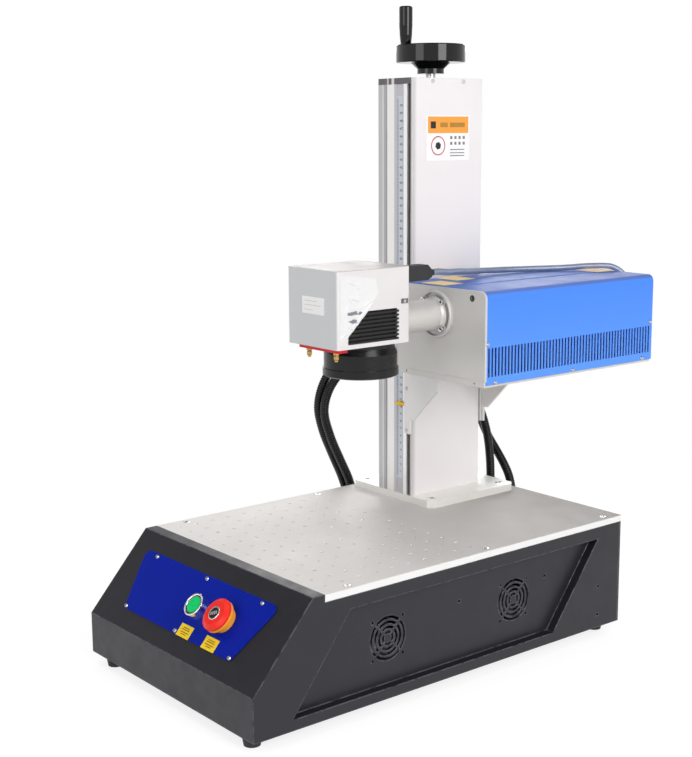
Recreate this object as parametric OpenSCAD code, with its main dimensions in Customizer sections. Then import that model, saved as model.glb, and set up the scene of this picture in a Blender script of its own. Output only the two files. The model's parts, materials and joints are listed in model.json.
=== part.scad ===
/* [Cabinet] */
// Width of the cabinet and of the table plate
cab_w = 350; // [330:1:400]
// Length of the cabinet, front face to rear face
cab_l = 592; // [560:1:680]
// Height of the table's top above the cabinet's underside
cab_h = 145; // [135:1:180]
// Height of the upright front face
front_h = 51; // [45:1:60]
// Length along the floor that the sloping front covers
slope_run = 82; // [75:1:95]
// Flat ledge between the slope and the table plate
ledge_l = 16.4; // [12:0.1:24]
// Thickness of the cabinet's sheet steel
sheet_t = 2; // [1.5:0.1:3]
// Width of the inward flanges that carry the table plate
flange_w = 16; // [12:1:20]
// Depth of the pressed recess in the right wall
recess_d = 12; // [8:0.5:15]
// Height of a rubber foot
foot_h = 14; // [8:0.5:25]
// Radius of a rubber foot at its top
foot_r = 12; // [10:0.5:16]
// Radius of a rubber foot where it stands
foot_tip_r = 9.5; // [6:0.5:9.9]

/* [Table] */
// Thickness of the table plate
plate_t = 8.5; // [6:0.5:12]
// Distance between neighbouring tapped holes
hole_pitch = 25; // [20:0.5:26]
// Number of hole columns across the table
hole_cols = 13; // [5:2:13]
// Number of hole rows along the table
hole_rows = 10; // [3:1:10]
// Diameter of a tapped hole
hole_d = 5; // [3:0.1:6]

/* [Control panel] */
// Width of the blue panel at its upper edge
panel_w = 274; // [260:1:290]
// Width of the blue panel at its lower edge
panel_low_w = 232; // [220:1:240]
// Height of the blue panel along the slope
panel_h = 77.6; // [70:0.1:85]
// Thickness of the blue panel
panel_t = 1.5; // [1:0.1:2.5]
// Outer diameter of the start button's bezel
start_d = 29.5; // [26:0.1:32]
// Travel of the start button
start_travel = 3; // [2:0.1:4]
// Diameter of the emergency stop's head
stop_d = 40; // [36:0.5:44]
// Travel of the emergency stop's head
stop_travel = 4; // [3:0.1:5]

/* [Fans] */
// Side of a fan's square frame
fan_size = 56; // [54:1:60]
// Depth of a fan
fan_t = 20; // [15:1:25]
// Distance between a fan's screw holes
fan_pitch = 46; // [44:0.5:47]
// Radius of a grille's outer ring slot
grille_r = 26.7; // [26.5:0.1:27]
// Width of a grille's ring slots
grille_slot = 3.2; // [2.6:0.1:3.6]

/* [Mast] */
// Width of the mast's foot plate
base_w = 166.5; // [160:0.5:180]
// Length of the mast's foot plate
base_l = 161; // [155:0.5:170]
// Thickness of the mast's foot plate
base_t = 9.5; // [8:0.5:12]
// Width of the mast, rear face to cover face
mast_w = 67.4; // [66:0.1:72]
// Depth of the mast, between its two slotted sides
mast_d = 126.4; // [124:0.1:132]
// Height of the mast above its foot plate
mast_h = 555.9; // [520:0.1:600]
// Thickness of the mast's cover plate
cover_t = 4.2; // [4:0.1:8]
// Thickness of the carriage plate that runs in the slots
arm_t = 5; // [4:0.1:5.4]
// Width of a slot between the profile and the cover plate
slot_w = 6; // [6:0.1:7]
// Diameter of a guide rod
rod_d = 12; // [10:0.5:14]
// Diameter of the lead screw
screw_d = 14; // [12:0.5:16]
// Diameter of the handwheel
wheel_d = 92; // [80:1:100]

/* [Carriage] */
// Height of the carriage above the foot plate at rest
lift_rest = 87.5; // [86:0.5:120]
// Height of the carriage
car_h = 88; // [80:1:95]
// Thickness of a gusset
gusset_t = 3.2; // [3:0.1:7]
// Reach of a gusset from its upright edge
gusset_w = 63.5; // [60:0.1:75]

/* [Laser] */
// Width of the laser's housing
laser_w = 163.5; // [158:0.5:180]
// Length of the laser's housing
laser_l = 319; // [300:1:340]
// Height of the laser's housing above its tray's underside
laser_h = 118.8; // [114:0.1:130]
// Thickness of the laser's tray
tray_t = 7.5; // [6:0.5:9]
// Thickness of the blue cover's sheet
blue_t = 1.5; // [1:0.1:2]
// Thickness of the laser's front plate
face_t = 3; // [2:0.1:4]
// Radius of the rounded upper edges
blue_r = 9; // [6:0.5:12]
// Number of vent slots in the cover's side
vent_n = 54; // [40:1:54]
// Distance between neighbouring vent slots
vent_pitch = 5.76; // [5:0.01:5.76]

/* [Scan head] */
// Width of the scan head's housing
head_w = 95.7; // [92:0.1:100]
// Length of the scan head's housing
head_l = 112.4; // [108:0.1:118]
// Height of the scan head's housing
head_h = 92.8; // [90:0.1:98]
// Thickness of the housing's walls
head_t = 4; // [3:0.1:5]
// Outer diameter of the beam tube
tube_d = 40; // [36:0.5:42]
// Length of the beam tube with its flange
tube_l = 76.2; // [70:0.1:85]
// Diameter of the beam tube's flange
flange_d = 61.6; // [60:0.1:66]
// Diameter of the lens barrel
lens_d = 90.6; // [88:0.1:94]
// Length of the lens below the housing
lens_h = 42; // [41:0.1:48]

/* [Hoses] */
// Outer diameter of a black hose over its ribs
hose_d = 13; // [11:0.5:14]
// Diameter of a black hose between its ribs
hose_root_d = 11; // [10:0.5:11.5]
// Bore of a black hose
hose_bore = 8; // [6:0.5:8.5]
// Outer diameter of the grey conduit over its ribs
pipe_d = 8.4; // [7.6:0.1:8.8]
// Diameter of the grey conduit between its ribs
pipe_root_d = 7.2; // [7:0.1:7.5]
// Bore of the grey conduit
pipe_bore = 5; // [4:0.5:5.5]

/* [Hidden] */
$fn = 48;
// overrun of every cut, and the gap between parts that only pass each other
cut = 1;
gap = 0.3;
// clearance between a shaft and its bore, on the radius
run = 0.05;
// clearance round a screw's shank, on the radius
loose = 0.25;

// cabinet
rim_z = cab_h - plate_t;
ledge_y = slope_run + ledge_l;
slope_a = atan2(cab_h - front_h, slope_run);
wall_y1 = cab_l - sheet_t;
foot_in_x = 27;
foot_in_y = 17;
foot_fn = 40;
// recess in the right wall: a leaning parallelogram
recess_z0 = 13;
recess_top = 24.5;
recess_z1 = cab_h - recess_top;
recess_y0 = 53;
recess_lean = 82;
recess_rear = 44;
recess_y1 = cab_l - recess_rear - recess_lean;
recess_x = cab_w/2 - recess_d;
// fans and grilles
fan_z = 67.5;
fan_y = [198.8, 404.7];
ring_pitch = 6;
ring_n = 4;
spoke_w = 2.6;
fan_screw_d = 3.5;
recess_hole_y = [311.9, 460.8];
recess_hole_z = 86.2;
wall_hole_z = [17.8, 56];
wall_hole_in = 41.6;
wall_hole_d = 4;
fan_x1 = recess_x - sheet_t;
fan_x0 = fan_x1 - fan_t;
fan_rim = 2;
fan_bore = fan_size - fan_rim*2;
fan_web = 3;
fan_hub_r = 11;
fan_blade_t = 1.6;
fan_blades = 7;
fan_tip = 1;
fan_pitch_a = 35;
fan_shaft_r = 1.5;
fan_strut = 4;
fan_corner_r = 3;

// table holes
table_row0 = 18.6;
hole_y0 = ledge_y + table_row0;
table_screw_in = 9.5;
table_screw_y0 = 39.1;
table_screw_y1 = 24.3;
table_screw_n = 3;
table_screw_step = (cab_l - ledge_y - table_screw_y0 - table_screw_y1)/(table_screw_n - 1);
table_screw_d = 5;
table_screw_head = 9;
table_screw_dip = 3;

// slope: every piece of the panel is placed along it and out from it
panel_x = -4;
panel_s = 23.7;
panel_r = 9;
panel_screw_in = 4.3;
panel_screw_side = 111.3;
panel_screw_low = 3.3;
panel_screw_d = 3;
pan_head_r = 2.7;
pan_top_r = 1.9;
pan_head_h = 1.8;
pan_shank_l = 8;
label_w = 25;
label_h = 15.6;
label_t = 0.4;
start_x = 13.3;
start_s = 61.9;
stop_x = 66;
stop_s = 62;
label_stop_x = 65.4;
label_s = 23.4;
bezel_h = 10;
bezel_wall = 4.4;
bezel_body_r = 11;
bezel_body_l = 34;
bezel_well = 6;
cap_stem_r = 4;
cap_stem_l = 14;
stop_hole_r = 11;
collar_h = 9;
collar_r = 15.5;
head_disc_h = 6.5;
head_dome_h = 3;
head_dome_in = 5;
head_round = 0.8;
stop_stem_r = 6;
stop_stem_l = 16;
stop_pin_r = 2.5;
stop_pin_l = 3;
stop_body_l = 36;
insert_r = 8;
insert_h = 0.6;
lock_nut_r = 14;
lock_nut_h = 3;

// rear panel
rear_flange = 14;
rear_tab_l = recess_rear - sheet_t*5;
inlet_in = 70;
inlet_x = cab_w/2 - inlet_in;
inlet_z = 62;
inlet_w = 48;
inlet_tall = 62;
inlet_lip = 3;
inlet_r = 3;
inlet_body_w = 30;
inlet_body_tall = 52;
inlet_body_l = 30;
socket_w = 25;
socket_tall = 17;
socket_deep = 18;
socket_low = 13;
pin_w = 2;
pin_tall = 5;
pin_gap = 7;
pin_l = 11;
inlet_screw_pitch = 40;
rocker_w = 18;
rocker_tall = 20;
rocker_high = 13;
rocker_t = 10;
rocker_tilt = 9;
rocker_pin_r = 1.5;
rocker_pin_l = 3;
rocker_back = 5;

// electronics
supply_x = -80;
supply_y = 245;
supply_w = 98;
supply_l = 159;
supply_h = 38;
supply2_x = 30;
supply2_w = 82;
supply2_l = 129;
supply2_h = 30;
stand_h = 6;
stand_r = 3;
stand_in = 8;
card_x = 60;
card_y = 420;
card_w = 120;
card_l = 100;
card_t = 1.6;
chip_w = 28;
chip_h = 3;
plug_w = 60;
plug_l = 12;
plug_h = 12;

// mast
base_in_x = 3.2;
base_in_y = 11.4;
base_x0 = base_in_x - cab_w/2;
base_x1 = base_x0 + base_w;
base_y1 = cab_l - base_in_y;
base_y0 = base_y1 - base_l;
base_z1 = cab_h + base_t;
base_corner = 8;
base_screw_in = 16;
base_screw_d = 8;
base_screw_head = 13;
base_screw_dip = 5;
mast_off_x = 58.6;
mast_off_y = 0.8;
mast_x0 = base_x0 + mast_off_x;
mast_x1 = mast_x0 + mast_w;
mast_y0 = base_y0 + mast_off_y;
mast_y1 = mast_y0 + mast_d;
mast_y = (mast_y0 + mast_y1)/2;
mast_z1 = base_z1 + mast_h;
mast_cap_t = 8;
prof_x1 = mast_x1 - cover_t - slot_w;
prof_w = prof_x1 - mast_x0;
wall_back = 12;
wall_side = 11.6;
lip_side = 4;
tee_x = 16;
tee_w = 7;
tee_d = 3;
tee_in_w = 12;
tee_in_d = 4;
rule_x = 37.5;
rule_w = 11.4;
rule_dip = 0.8;
rule_t = 0.5;
rule_z0 = 21;
rule_z1 = 533;
lead_x = mast_x0 + 33;
rod_pitch = 70;
rod_seat = 4;
journal_d = 10;
journal_r = journal_d/2;
bearing_r = 11;
bearing_h = 6;
cover_r = 1.9;
cap_screw_y = 27.6;
cap_screw_r = 2.6;
label_mast_w = 77;
label_mast_h = 59;
label_mast_down = 47.9;
label_mast_y = 25;

// handwheel
shaft_r = 6.4;
hub_r = 17.8;
hub_z = 6.6;
hub_h = 6.5;
cone_r = 26.5;
cone_h = 7.9;
rim_h = 23.4;
rim_w = 9;
rim_c = 1.2;
dish_d = 11;
boss_r = 9;
pin_seat = 16;
grip_r = 33;
grip_a = 228;
grip_h = 50;
grip_low_r = 7;
grip_top_r = 9;
grip_pin_r = 3;
grip_round = 1.4;

// carriage
car_z = base_z1 + lift_rest;
cheek_t = 3;
cheek_gap = 0.8;
arm_x0 = prof_x1 + (slot_w - arm_t)/2;
arm_x1 = arm_x0 + arm_t;
cheek_w = 10.9;
cheek_x1 = arm_x0 + cheek_w;
cheek_y0 = mast_y0 - cheek_gap - cheek_t;
cheek_y1 = mast_y1 + cheek_gap + cheek_t;
block_in = 4;
block_x0 = mast_x0 + wall_back + block_in;
block_y0 = mast_y0 + wall_side + block_in;
block_y1 = mast_y1 - wall_side - block_in;
nut_r = 11.5;
nut_flange_r = 16;
nut_flange_h = 5;
gusset_x0 = arm_x0 + 3;
gusset_x1 = gusset_x0 + gusset_w;
gusset_low = 20.4;
gusset_toe = 18.9;
tab_in = 0.5;
tab_screw_in = 3.6;
tab_w = 10.6;
gusset_slant = 44.6;
gusset_screw_r = 2.2;
tab_screw_z = 4.8;
tab_screw_z2 = 62;
tray_z0 = car_z + car_h;
tray_z1 = tray_z0 + tray_t;
pointer_w = 14;
pointer_h = 7.3;
pointer_t = 2;
pointer_z = 38;
pointer_back = 9.6;

// laser
laser_gap = 3.3;
laser_fwd = 28.4;
laser_x0 = mast_x1 + laser_gap;
laser_x1 = laser_x0 + laser_w;
laser_y0 = mast_y0 - laser_fwd;
laser_y1 = laser_y0 + laser_l;
laser_z1 = tray_z0 + laser_h;
cover_up = 3;
vent_z = 13;
vent_h = 36;
vent_w = 2.9;
vent_in = 5.5;
tray_screw_in = 18.5;
tray_screw_r = 1.2;
tray_screw_l = 8;
face_hole_r = 2.4;
face_hole_in_x = 23.6;
face_hole_in_z = 9.6;
side_screw_y = [18.3, 159.7, 299.3];
side_screw_z = 5.6;
end_screw_in = 4.1;
end_screw_z = 54.2;
module_in = 16;
module_y0 = 50;
module_l = 230;
module_h = 92;
barrel_r = 14;
ridge_in = 74;
ridge_h = 0.8;

// scan head
beam_in = 76;
beam_up = 84.3;
beam_x = laser_x0 + beam_in;
beam_z = tray_z0 + beam_up;
flange_t = 5.5;
flange_pitch = 34;
flange_screw_r = 3.5;
flange_screw_h = 4;
bolt_r = 2;
tube_wall = 4;
head_y1 = laser_y0 - tube_l;
head_y0 = head_y1 - head_l;
head_right = 34.5;
head_x1 = beam_x + head_right;
head_x0 = head_x1 - head_w;
head_under = 24.6;
head_z0 = beam_z - head_under;
head_z1 = head_z0 + head_h;
head_edge_r = 3;
mirror_gap = 13.4;
lens_x = beam_x - mirror_gap;
lens_back = 38.1;
lens_y = head_y1 - lens_back;
lens_bore_r = 34;
lens_ring_r = 46.8;
lens_neck_r = 42;
lens_tip_r = 44;
lens_tip_h = 1.5;
lens_ring_h = 10.3;
lens_mid_h = 28.9;
lens_neck_h = 36.3;
glass_r = 33;
glass_t = 5;
glass_up = 3;
lens_wall = 6;
fin_y0 = 16.2;
fin_l = 76.5;
fin_tooth = 2.4;
fin_z0 = 5.3;
fin_n = 8;
fin_pitch = 4.75;
fin_t = 2.6;
fin_deep = 7;
fin_back = 3;
nick_l = 14;
nick_h = 6.4;
nick_z = 47.3;
nick_d = 2.5;
film_t = 0.3;
sticker_x = 28.8;
sticker_w = 42.2;
sticker_h = 20.4;
sticker_z = 39.2;
sticker_t = 0.3;
red_t = 3.5;
red_x0 = 16.5;
red_l = 17.6;
red_in = 1;
red_r = 6;
brass_r = 3.6;
brass_h = 9.6;
brass_x = [30.7, 82.7];
brass_y = 8.6;
brass_nip_r = 2.2;
brass_nip_h = 2;
motor_r = 9.5;
motor_gap = 9;
mirror_shaft_r = 1.5;
mirror_w = 12;
mirror_h = 16;
mirror_t = 2;
mirror_seat = 12;

// connector and conduit
hood_x0 = 74;
hood_w = 16;
hood_h = 19;
hood_l = 34.8;
hood_taper = 7.2;
hood_neck_h = 8.4;
hood_down = 1.5;
hood_neck_r = 3.7;
label_a_shares = [0.222, 0.031];
label_b_shares = [0.028, 0.197];
label_c_shares = [0.345, 0.878];
top_label_w = 42;
top_label_l = 34;
top_label_t = 0.3;

// glands
gland_r = 9;
elbow_r = 8;
gland_neck_r = 7.6;
gland_nut_r = 11;
gland_nut_h = 6;
pipe_elbow_r = 5;
pipe_neck_r = 4.6;
pipe_gland_l = 7;
hose_seat = 0.5;

// hoses: routes chosen by hand in whole millimetres, in the machine's own frame
hose_sides = 8;
gland_a = [-210, 445, 78];
gland_b = [-193, 439, 108];
gland_c = [-82, 608, 78];
gland_d = [-56, 626, 100];
port_a = [-54, 640, 420];
port_b = [-54, 640, 390];
port_c = [-54, 590, 360];
port_d = [-54, 622, 356];
route_a = [gland_a, [-210, 445, 91], [-210, 442, 118], [-210, 431, 150], [-209, 412, 188],
    [-207, 394, 226], [-204, 385, 262], [-198, 393, 298], [-189, 418, 334], [-177, 462, 366],
    [-160, 514, 391], [-142, 560, 408], [-126, 598, 417], [-117, 614, 419], [-103, 628, 420],
    [-86, 637, 420], [-67, 640, 420], port_a];
route_b = [gland_b, [-193, 439, 121], [-193, 431, 148], [-193, 415, 180], [-192, 397, 216],
    [-189, 384, 254], [-184, 390, 287], [-176, 411, 315], [-164, 449, 345], [-149, 506, 371],
    [-138, 557, 383], [-127, 596, 389], [-117, 614, 390], [-103, 628, 390], [-86, 637, 390],
    [-67, 640, 390], port_b];
route_c = [gland_c, [-82, 608, 91], [-82, 608, 118], [-82, 608, 146], [-83, 607, 175],
    [-86, 605, 204], [-93, 602, 232], [-106, 600, 258], [-117, 598, 279], [-123, 596, 298],
    [-122, 594, 317], [-114, 592, 334], [-101, 591, 348], [-85, 590, 357], [-67, 590, 360],
    port_c];
route_d = [gland_d, [-56, 626, 113], [-57, 626, 130], [-63, 626, 148], [-74, 626, 164],
    [-89, 626, 181], [-105, 626, 198], [-118, 626, 216], [-126, 625, 236], [-130, 624, 257],
    [-131, 624, 277], [-130, 623, 296], [-126, 623, 313], [-117, 622, 330], [-103, 622, 344],
    [-86, 622, 353], [-67, 622, 356], port_d];
ribs_a = 42;
ribs_b = 38;
ribs_c = 26;
ribs_d = 28;
pipe_start = [54, 366, 470];
pipe_end = [63, 732, 395];
route_p = [pipe_start, [52, 377, 470], [43, 402, 467], [24, 438, 464], [2, 477, 460],
    [-15, 519, 457], [-20, 564, 455], [-10, 611, 454], [8, 651, 454], [29, 681, 456],
    [44, 702, 456], [51, 713, 453], [57, 723, 445], [61, 730, 433], [63, 732, 419],
    [63, 732, 407], pipe_end];
ribs_p = 34;

// the head's lowest rim point, and the middle of the machine without its hoses and glands
stop_tip = collar_h + head_disc_h;
stem_top = collar_h + stop_travel;
stop_y = (stop_s - stop_d/2)*cos(slope_a) - (panel_t + stop_tip)*sin(slope_a);
org_y = (min(0, stop_y) + laser_y1)/2;

// box between two corners
module box(a, b) translate(a) cube(b - a);
// cylinders along the three axes, from a point
module post(p, r, h) translate(p) cylinder(r = r, h = h);
module bar_y(p, r, l) translate(p) rotate([-90, 0, 0]) cylinder(r = r, h = l);
module bar_x(p, r, l) translate(p) rotate([0, 90, 0]) cylinder(r = r, h = l);
// an outline in length and height, drawn out across the width
module across(x, w) translate([x, 0, 0]) rotate([90, 0, 90]) linear_extrude(w) children();
// an outline in width and height, drawn out along the length
module along(y, l) translate([0, y + l, 0]) rotate([90, 0, 0]) linear_extrude(l) children();
// rectangle with round corners, from a corner
module soft(a, b, r) {
    translate([a.x + r, a.y]) square([b.x - a.x - r*2, b.y - a.y]);
    translate([a.x, a.y + r]) square([b.x - a.x, b.y - a.y - r*2]);
    for (x = [a.x + r, b.x - r], y = [a.y + r, b.y - r]) translate([x, y]) circle(r);
}
// rectangle whose two upper corners are round
module arch(a, b, r) {
    translate(a) square([b.x - a.x, b.y - a.y - r]);
    translate([a.x + r, b.y - r*2]) square([b.x - a.x - r*2, r*2]);
    for (x = [a.x + r, b.x - r]) translate([x, b.y - r]) circle(r);
}
// the frame of the sloping front: width, length up the slope, height out of it
module on_slope(x, s, h)
    translate([x, s*cos(slope_a) - h*sin(slope_a), front_h + s*sin(slope_a) + h*cos(slope_a)])
    rotate([slope_a, 0, 0]) children();
// the machine is drawn from its front, centre and underside, and moved to its origin
module place() translate([0, -org_y, foot_h]) children();

// cabinet
function shell_out() = [[0, 0], [0, front_h], [slope_run, cab_h], [ledge_y, cab_h], [ledge_y, rim_z],
    [wall_y1, rim_z], [wall_y1, 0]];
function shell_in() = let (t = sheet_t, a = slope_a) [[t, t],
    [t, front_h - t*cos(a) + (t - t*sin(a))*tan(a)],
    [t*sin(a) + (cab_h - t - front_h + t*cos(a))/tan(a), cab_h - t],
    [ledge_y - t, cab_h - t], [ledge_y - t, rim_z - t], [cab_l, rim_z - t], [cab_l, t]];
function lean(z) = (z - recess_z0)*recess_lean/(recess_z1 - recess_z0);
function recess_pts(g) = let (k = g*norm([recess_lean, recess_z1 - recess_z0])/(recess_z1 - recess_z0))
    [[recess_y0 + lean(recess_z0 - g) - k, recess_z0 - g], [recess_y1 + lean(recess_z0 - g) + k, recess_z0 - g],
    [recess_y1 + lean(recess_z1 + g) + k, recess_z1 + g], [recess_y0 + lean(recess_z1 + g) - k, recess_z1 + g]];
module grille(y) translate([recess_x - sheet_t - cut, y, fan_z]) rotate([0, 90, 0]) {
    for (i = [0:ring_n - 1]) difference() {
        cylinder(r = grille_r - i*ring_pitch, h = sheet_t + cut*2);
        translate([0, 0, -cut]) cylinder(r = grille_r - i*ring_pitch - grille_slot, h = sheet_t + cut*4);
        for (a = [45, 135]) rotate(a) translate([-fan_size, -spoke_w/2, -cut])
            cube([fan_size*2, spoke_w, sheet_t + cut*4]);
    }
    for (i = [-1, 1], j = [-1, 1]) translate([i*fan_pitch/2, j*fan_pitch/2, 0])
        cylinder(r = fan_screw_d/2, h = sheet_t + cut*2, $fn = 24);
}
module cabinet_shell() color("dimgray") place() {
    difference() {
        union() {
            difference() {
                across(-cab_w/2, cab_w) polygon(shell_out());
                across(sheet_t - cab_w/2, cab_w - sheet_t*2) polygon(shell_in());
                across(cab_w/2 - sheet_t - cut, sheet_t + cut*2) polygon(recess_pts(0));
                box([flange_w + sheet_t - cab_w/2, ledge_y + flange_w, rim_z - sheet_t - cut],
                    [cab_w/2 - flange_w - sheet_t, cab_l, rim_z + cut]);
            }
            difference() {
                across(recess_x - sheet_t, recess_d + sheet_t) polygon(recess_pts(sheet_t));
                across(recess_x, recess_d + cut) polygon(recess_pts(0));
            }
        }
        for (y = fan_y) grille(y);
        for (y = recess_hole_y)
            bar_x([recess_x - sheet_t - cut, y, recess_hole_z], wall_hole_d/2, sheet_t + cut*2);
        for (z = wall_hole_z)
            bar_x([cab_w/2 - sheet_t - cut, cab_l - wall_hole_in, z], wall_hole_d/2, sheet_t + cut*2);
        panel_holes();
        for (i = [-1, 1], k = [0:table_screw_n - 1])
            post([i*(cab_w/2 - table_screw_in), ledge_y + table_screw_y0 + k*table_screw_step,
                rim_z - sheet_t - cut], table_screw_d/2, sheet_t + cut*2);
        for (g = [gland_a, gland_b])
            bar_x([-cut - cab_w/2, g.y, g.z - gland_r], hose_bore/2, sheet_t + cut*2);
    }
}
module panel_holes() {
    on_slope(start_x, start_s, -sheet_t*2) cylinder(r = bezel_body_r + loose, h = sheet_t*4);
    on_slope(stop_x, stop_s, -sheet_t*2) cylinder(r = stop_hole_r + loose, h = sheet_t*4);
    for (p = panel_screw_pts()) on_slope(p.x, p.y, -sheet_t*2)
        cylinder(r = panel_screw_d/2, h = sheet_t*4, $fn = 24);
}
function panel_screw_pts() = [for (i = [-1, 0, 1],
    s = [panel_s + panel_screw_low, panel_s + panel_h - panel_screw_in])
    [panel_x + i*panel_screw_side, s]];
module rear_panel() color("dimgray") place() difference() {
    union() {
        box([-cab_w/2, wall_y1, 0], [cab_w/2, cab_l, rim_z]);
        for (i = [0, 1]) mirror([i, 0, 0])
            box([cab_w/2 - sheet_t*2, wall_y1 - rear_tab_l, sheet_t + gap],
                [cab_w/2 - sheet_t, wall_y1, rim_z - sheet_t - gap]);
        box([sheet_t + flange_w + gap - cab_w/2, wall_y1 - rear_flange, rim_z - sheet_t],
            [cab_w/2 - sheet_t - flange_w - gap, wall_y1, rim_z]);
    }
    box([inlet_x - inlet_body_w/2 - gap, wall_y1 - cut, inlet_z - inlet_body_tall/2 - gap],
        [inlet_x + inlet_body_w/2 + gap, cab_l + cut, inlet_z + inlet_body_tall/2 + gap]);
    for (i = [-1, 1])
        bar_y([inlet_x + i*inlet_screw_pitch/2, wall_y1 - cut, inlet_z], panel_screw_d/2, sheet_t + cut*2);
    for (g = [gland_c, gland_d]) bar_y([g.x, wall_y1 - cut, g.z - gland_r], hose_bore/2, sheet_t + cut*2);
}
module feet() color("black") place()
    for (x = [foot_in_x - cab_w/2, cab_w/2 - foot_in_x], y = [foot_in_y, cab_l - foot_in_y])
        translate([x, y, -foot_h]) cylinder(r1 = foot_tip_r, r2 = foot_r, h = foot_h, $fn = foot_fn);

// table
function table_screw_pts() = [for (i = [-1, 1], k = [0:table_screw_n - 1])
    [i*(cab_w/2 - table_screw_in), ledge_y + table_screw_y0 + k*table_screw_step]];
function base_screw_pts() = [for (x = [base_x0 + base_screw_in, base_x1 - base_screw_in],
    y = [base_y0 + base_screw_in, base_y1 - base_screw_in]) [x, y]];
module table_plate() color("gainsboro") place() difference() {
    box([-cab_w/2, ledge_y, rim_z], [cab_w/2, cab_l, cab_h]);
    for (i = [0:hole_cols - 1], j = [0:hole_rows - 1])
        post([(i - (hole_cols - 1)/2)*hole_pitch, hole_y0 + j*hole_pitch, rim_z - cut], hole_d/2,
            plate_t + cut*2, $fn = 24);
    for (p = table_screw_pts()) {
        post([p.x, p.y, rim_z - cut], table_screw_d/2 + loose, plate_t + cut*2);
        post([p.x, p.y, cab_h - table_screw_dip], table_screw_head/2 + loose, table_screw_dip + cut);
    }
    for (p = base_screw_pts()) post([p.x, p.y, rim_z - cut], base_screw_d/2, plate_t + cut*2);
}
module case_screws() color("silver") place() {
    for (p = table_screw_pts()) {
        post([p.x, p.y, cab_h - table_screw_dip], table_screw_head/2, table_screw_dip - gap);
        post([p.x, p.y, rim_z - sheet_t], table_screw_d/2, plate_t + sheet_t - table_screw_dip);
    }
    for (p = panel_screw_pts()) on_slope(p.x, p.y, panel_t) {
        cylinder(r1 = pan_head_r, r2 = pan_top_r, h = pan_head_h, $fn = 24);
        translate([0, 0, -pan_shank_l]) cylinder(r = panel_screw_d/2, h = pan_shank_l, $fn = 24);
    }
    for (i = [-1, 1]) {
        bar_y([inlet_x + i*inlet_screw_pitch/2, cab_l + inlet_lip - pan_shank_l, inlet_z], panel_screw_d/2,
            pan_shank_l + pan_head_h);
        bar_y([inlet_x + i*inlet_screw_pitch/2, cab_l + inlet_lip, inlet_z], pan_head_r, pan_head_h);
    }
}

// control panel
module panel_outline() {
    low = panel_low_w/2 - panel_r;
    top = panel_w/2 - panel_r;
    hull() {
        for (i = [-1, 1]) {
            translate([i*low, panel_r]) circle(panel_r, $fn = 32);
            translate([i*top, panel_h - panel_r]) circle(panel_r, $fn = 32);
        }
    }
}
module control_panel() color("mediumblue") place() difference() {
    on_slope(panel_x, panel_s, 0) linear_extrude(panel_t) panel_outline();
    panel_holes();
}
module labels() color("gold") place() {
    for (x = [start_x, label_stop_x])
        on_slope(x - label_w/2, label_s, panel_t) cube([label_w, label_h, label_t]);
    box([mast_x1, mast_y0 + label_mast_y, mast_z1 - label_mast_down - label_mast_h],
        [mast_x1 + label_t, mast_y0 + label_mast_y + label_mast_w, mast_z1 - label_mast_down]);
}
module start_bezel() color("silver") place() on_slope(start_x, start_s, panel_t) {
    difference() {
        union() {
            cylinder(r1 = start_d/2, r2 = start_d/2 - bezel_wall/4, h = bezel_h);
            translate([0, 0, -bezel_body_l]) cylinder(r = bezel_body_r, h = bezel_body_l + cut);
        }
        translate([0, 0, bezel_h - bezel_well]) cylinder(r = start_d/2 - bezel_wall, h = bezel_well + cut);
        translate([0, 0, -cap_stem_l]) cylinder(r = cap_stem_r + run, h = cap_stem_l + bezel_h);
    }
}
module start_cap() color("limegreen") place() on_slope(start_x, start_s, panel_t) {
    translate([0, 0, bezel_h - bezel_well + start_travel + gap])
        cylinder(r = start_d/2 - bezel_wall - gap, h = bezel_well - start_travel - gap);
    translate([0, 0, start_travel + gap - cap_stem_l])
        cylinder(r = cap_stem_r, h = cap_stem_l + bezel_h - bezel_well);
}
module estop_body() color("orange") place() on_slope(stop_x, stop_s, panel_t) difference() {
    union() {
        cylinder(r = collar_r, h = collar_h - gap);
        translate([0, 0, -stop_body_l]) cylinder(r = stop_hole_r, h = stop_body_l + cut);
        translate([0, 0, -panel_t - sheet_t - lock_nut_h]) cylinder(r = lock_nut_r, h = lock_nut_h);
    }
    translate([0, 0, -stop_stem_l - cut]) cylinder(r = stop_stem_r + run, h = stop_stem_l + collar_h + cut*2);
}
module estop_stem() color("dimgray") place() on_slope(stop_x, stop_s, panel_t) {
    translate([0, 0, stop_travel + gap - stop_stem_l])
        cylinder(r = stop_stem_r, h = stop_stem_l + stem_top - stop_travel - gap);
    cylinder(r = stop_pin_r, h = stem_top + stop_pin_l);
}
module estop_head() color("red") place() on_slope(stop_x, stop_s, panel_t) difference() {
    union() {
        translate([0, 0, collar_h]) cylinder(r = stop_d/2, h = head_disc_h);
        translate([0, 0, stop_tip])
            cylinder(r1 = stop_d/2 - head_round, r2 = stop_d/2 - head_dome_in, h = head_dome_h);
        translate([0, 0, stop_tip + head_dome_h]) cylinder(r = insert_r, h = insert_h);
    }
    translate([0, 0, collar_h - cut]) cylinder(r = collar_r + gap, h = stop_travel + gap + cut);
    translate([0, 0, collar_h]) cylinder(r = stop_pin_r + run, h = stem_top + stop_pin_l + gap - collar_h);
}

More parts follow.
